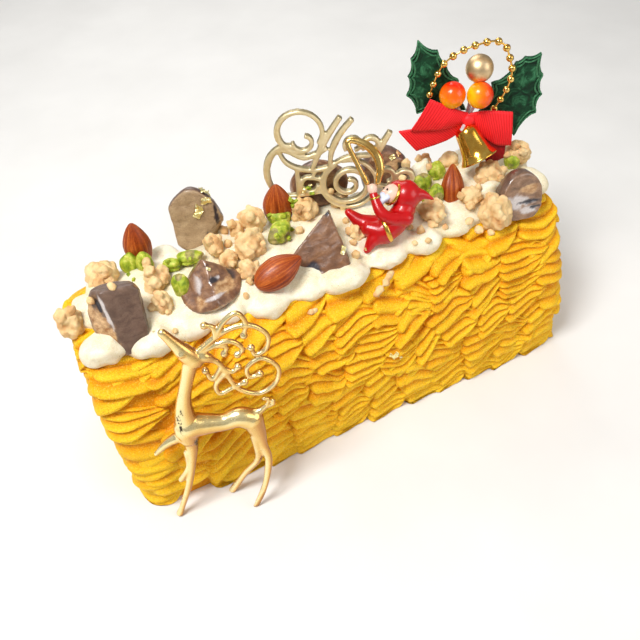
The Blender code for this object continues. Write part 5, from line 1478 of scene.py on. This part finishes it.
def make_beads(look):
    shapes = [swept([(x, -0.5, z) for x, z in bead_path(40)], 0.42, HOLLY_FRAME, 10, 1)]
    for x, z in bead_path(16):
        shapes.append(round_shape(holly_at(x, 0.5, z), (BEAD_RADIUS,) * 3, 3))
    shape_piece("gold_beads", joined(shapes), look, ["bead_chain"])


def make_berries(look, matte):
    for name, node, matrix, axis in (
            ("berry_skin_left", "berry_left", holly_at(-11.4, 3.4, 36.0), (0.2, 0.0, 1.0)),
            ("berry_skin_right", "berry_right", holly_at(-0.3, 4.2, 35.8), (1.0, 0.0, 0.25))):
        points, faces = round_shape(Matrix(), (BERRY_RADIUS,) * 3, 5)
        axis = np.array(axis) / np.linalg.norm(axis)
        shade = np.clip(0.5 + 0.62 * (points @ axis) / BERRY_RADIUS + 0.15 * grain(points, 4.0, 2), 0.0, 1.0)
        shape_piece(name, (moved(points, matrix), faces), look, [node], {"shade": shade})
    ball = round_shape(holly_at(-0.8, -0.6, 44.9), (BERRY_RADIUS + 0.2,) * 3, 5)
    shape_piece("satin_ball", ball, matte, ["matte_ball"])


RIBBON_THICKNESS = 0.9
RIB_PITCH = 1.0
RIB_HEIGHT = 0.16
RIB_STEPS = 6
# Points across each face of the ribbon
RIBBON_COLUMNS = 16


def ribbon_sheet(upper, lower, depth_path, bulge):
    """A ribbon between two edge lines, ribbed across its length."""
    top = smooth_path(upper, 14)
    bottom = smooth_path(lower, 14)
    count = len(top)
    length = float(np.linalg.norm(np.diff(0.5 * (top + bottom), axis=0), axis=1).sum())
    stops = int(length / RIB_PITCH) * RIB_STEPS
    position = np.linspace(0, count - 1, stops)
    top = np.column_stack([np.interp(position, np.arange(count), top[:, axis]) for axis in (0, 1)])
    bottom = np.column_stack([np.interp(position, np.arange(count), bottom[:, axis]) for axis in (0, 1)])
    depth = np.interp(position, np.linspace(0, count - 1, len(depth_path)), depth_path)
    rib = 0.5 + 0.5 * np.cos(math.tau * np.arange(stops) / RIB_STEPS)
    skin = RIB_HEIGHT * rib + 0.5 * RIBBON_THICKNESS
    front, back = [], []
    for share in np.linspace(0.0, 1.0, RIBBON_COLUMNS):
        flat = top * (1 - share) + bottom * share
        middle = depth + bulge * 4 * share * (1 - share)
        front.append(np.column_stack([flat[:, 0], -(middle + skin), flat[:, 1]]))
        back.append(np.column_stack([flat[:, 0], -(middle - skin), flat[:, 1]]))
    points = np.stack(front + back[::-1], axis=1).reshape(-1, 3)
    sides = 2 * RIBBON_COLUMNS
    return moved(points, HOLLY_FRAME), tube_faces(stops, sides), np.repeat(rib, sides)


def make_bow(bright, dark):
    sheets = {
        "ribbon_loop_left": ([(-4.0, 27.5), (-10.0, 30.6), (-20.7, 35.6)],
                             [(-4.0, 23.4), (-16.0, 21.6), (-28.0, 21.5)], (3.4, 5.6, 5.5), 0.8, bright),
        "ribbon_loop_right": ([(-3.5, 27.3), (3.0, 29.0), (14.0, 28.0)],
                              [(-3.5, 22.6), (8.0, 13.6), (15.6, 12.4)], (3.4, 5.2, 5.0), 0.8, bright),
        "ribbon_tail_left": ([(-4.5, 25.0), (-20.0, 22.4), (-32.9, 20.8)],
                             [(-3.5, 21.5), (-12.0, 15.8), (-24.9, 11.2)], (3.0, 4.2, 4.4), 0.3, bright),
        "ribbon_tail_right": ([(-2.0, 24.0), (7.0, 15.5), (13.6, 12.0)],
                              [(-4.0, 21.5), (6.5, 4.0), (13.6, 5.6)], (3.0, 4.0, 3.9), 0.3, dark),
    }
    for name, (upper, lower, depth, bulge, look) in sheets.items():
        points, faces, rib = ribbon_sheet(upper, lower, depth, bulge)
        shape_piece(name, (points, faces), look, ["ribbon_bow"], {"rib": rib})
    points, faces = round_shape(holly_at(-4.0, 5.0, 25.0), (2.6, 1.9, 2.6), 4)
    shape_piece("ribbon_knot", (points, faces), bright, ["ribbon_bow"],
                {"rib": np.full(len(points), 0.6)})


BELL_FRAME = holly_at(1.2, 12.0, 10.4) @ Matrix.Rotation(math.radians(-30), 4, "Y")
BELL_FRAME = BELL_FRAME @ Matrix.Rotation(math.radians(-26), 4, "X")


def make_bell(look):
    outer = smooth_path([(0.05, 15.5), (2.2, 15.4), (3.8, 14.7), (4.8, 12.8), (5.4, 8.0), (6.3, 3.6),
                         (8.2, 0.2)], 6)
    inner = smooth_path([(7.6, 0.0), (5.5, 3.4), (4.6, 8.0), (3.9, 12.3), (3.0, 13.9), (0.05, 14.2)], 6)
    bell = lathe(np.concatenate([outer, inner]), BELL_FRAME, 72)
    shape_piece("gold_bell", bell, look, ["bell"])


# Floor, light and camera

FLOOR_HALF = 3.0
# Each lamp's place and size in metres, and its power in watts
LAMPS = {"key": ((-0.30, -0.12, 0.62), 0.22, 4.6),
         "fill": ((0.50, -0.60, 0.45), 0.5, 2.1),
         "back": ((0.10, 0.55, 0.50), 0.4, 1.6)}
LAMP_TARGET = (0, 0, 0.05)


def make_floor():
    corners = [(x * FLOOR_HALF, y * FLOOR_HALF, 0) for x, y in ((-1, -1), (1, -1), (1, 1), (-1, 1))]
    mesh = bpy.data.meshes.new("floor")
    mesh.from_pydata(corners, [], [(0, 1, 2, 3)])
    look = Look("pale_floor", Roughness=0.7, Specular_IOR_Level=0.2)
    look.colour(look.between(srgb(226, 224, 220), srgb(232, 230, 226), (60.0, 3.0), 0.3, 0.7))
    mesh.materials.append(look.material)
    floor = bpy.data.objects.new("floor", mesh)
    bpy.context.scene.collection.objects.link(floor)


def make_light():
    world = bpy.data.worlds.new("soft_room")
    world.use_nodes = True
    nodes = world.node_tree.nodes
    nodes["Background"].inputs["Strength"].default_value = 0.36
    where = nodes.new("ShaderNodeTexCoord")
    axes = nodes.new("ShaderNodeSeparateXYZ")
    fade = nodes.new("ShaderNodeValToRGB")
    fade.color_ramp.elements[0].color = (0.78, 0.78, 0.79, 1.0)
    fade.color_ramp.elements[1].color = (1.0, 1.0, 1.0, 1.0)
    world.node_tree.links.new(where.outputs["Generated"], axes.inputs["Vector"])
    world.node_tree.links.new(axes.outputs["Z"], fade.inputs["Fac"])
    world.node_tree.links.new(fade.outputs["Color"], nodes["Background"].inputs["Color"])
    bpy.context.scene.world = world
    for name, (location, size, power) in LAMPS.items():
        light = bpy.data.lights.new(name, "AREA")
        light.size = size
        light.energy = power
        lamp = bpy.data.objects.new(name, light)
        lamp.location = location
        aim = Vector(LAMP_TARGET) - Vector(location)
        lamp.rotation_euler = aim.to_track_quat("-Z", "Y").to_euler()
        bpy.context.scene.collection.objects.link(lamp)


def make_camera():
    data = bpy.data.cameras.new("camera")
    data.sensor_width = SENSOR_WIDTH
    data.lens = CAMERA_REACH / PICTURE_WIDTH * SENSOR_WIDTH
    data.clip_start = 0.01
    camera = bpy.data.objects.new("camera", data)
    axes = (Vector(CAMERA_RIGHT), -Vector(CAMERA_DOWN), -Vector(CAMERA_AHEAD))
    matrix = Matrix(axes).transposed().to_4x4()
    matrix.translation = Vector(CAMERA_PLACE)
    camera.matrix_world = matrix
    bpy.context.scene.collection.objects.link(camera)
    bpy.context.scene.camera = camera
    bpy.context.scene.view_settings.view_transform = "Standard"


def main():
    make_camera()
    make_floor()
    make_light()
    make_log(piped_cream_look())
    make_cream(pale_cream_look())
    make_chestnuts()
    make_almonds(almond_look())
    pistachio = pistachio_look()
    make_pistachios(pistachio)
    crumble = crumble_look()
    make_crumbles(crumble)
    gold = gold_look()
    champagne = champagne_look()
    make_deer(deer_look())
    make_scroll_pick(champagne)
    make_figurine(gloss_look("red_paint", srgb(168, 2, 6), srgb(190, 6, 10), 0.24, 0.38),
                  gloss_look("pale_face", srgb(224, 182, 160), srgb(236, 198, 178), 0.3, 0.45),
                  gloss_look("pale_beard", srgb(188, 196, 220), srgb(218, 224, 240), 0.35, 0.5),
                  metal_look("trim_gold", srgb(206, 160, 60), srgb(236, 196, 100), 0.2, 0.32),
                  gloss_look("dark_paint", srgb(24, 14, 12), srgb(44, 26, 20), 0.1, 0.24))
    make_hoop(gold)
    velvet, stitching = velvet_look(), stitch_look()
    make_leaf("velvet_leaf_left", "holly_leaf_left", LEFT_SPIKES, velvet, stitching)
    make_leaf("velvet_leaf_right", "holly_leaf_right", RIGHT_SPIKES, velvet, stitching)
    make_beads(metal_look("bead_gold", srgb(220, 170, 80), srgb(244, 206, 120), 0.12, 0.22))
    make_berries(berry_look(),
                 metal_look("satin_champagne", srgb(212, 182, 136), srgb(232, 206, 164), 0.38, 0.5))
    make_bow(ribbon_look("bright_ribbon", srgb(222, 8, 18), srgb(255, 40, 48)),
             ribbon_look("dark_ribbon", srgb(110, 2, 10), srgb(176, 10, 20)))
    make_bell(metal_look("bell_gold", srgb(224, 164, 60), srgb(246, 200, 96), 0.12, 0.2))
    make_small_crumbs(crumble)
    make_small_chips(pistachio)
    make_gold_leaves(metal_look("gold_leaf", srgb(248, 226, 140), srgb(255, 248, 196), 0.3, 0.5, 0.3, 0.8))
    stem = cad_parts["holly_stem"]
    stem.data.materials.clear()
    stem.data.materials.append(wire_look())


main()
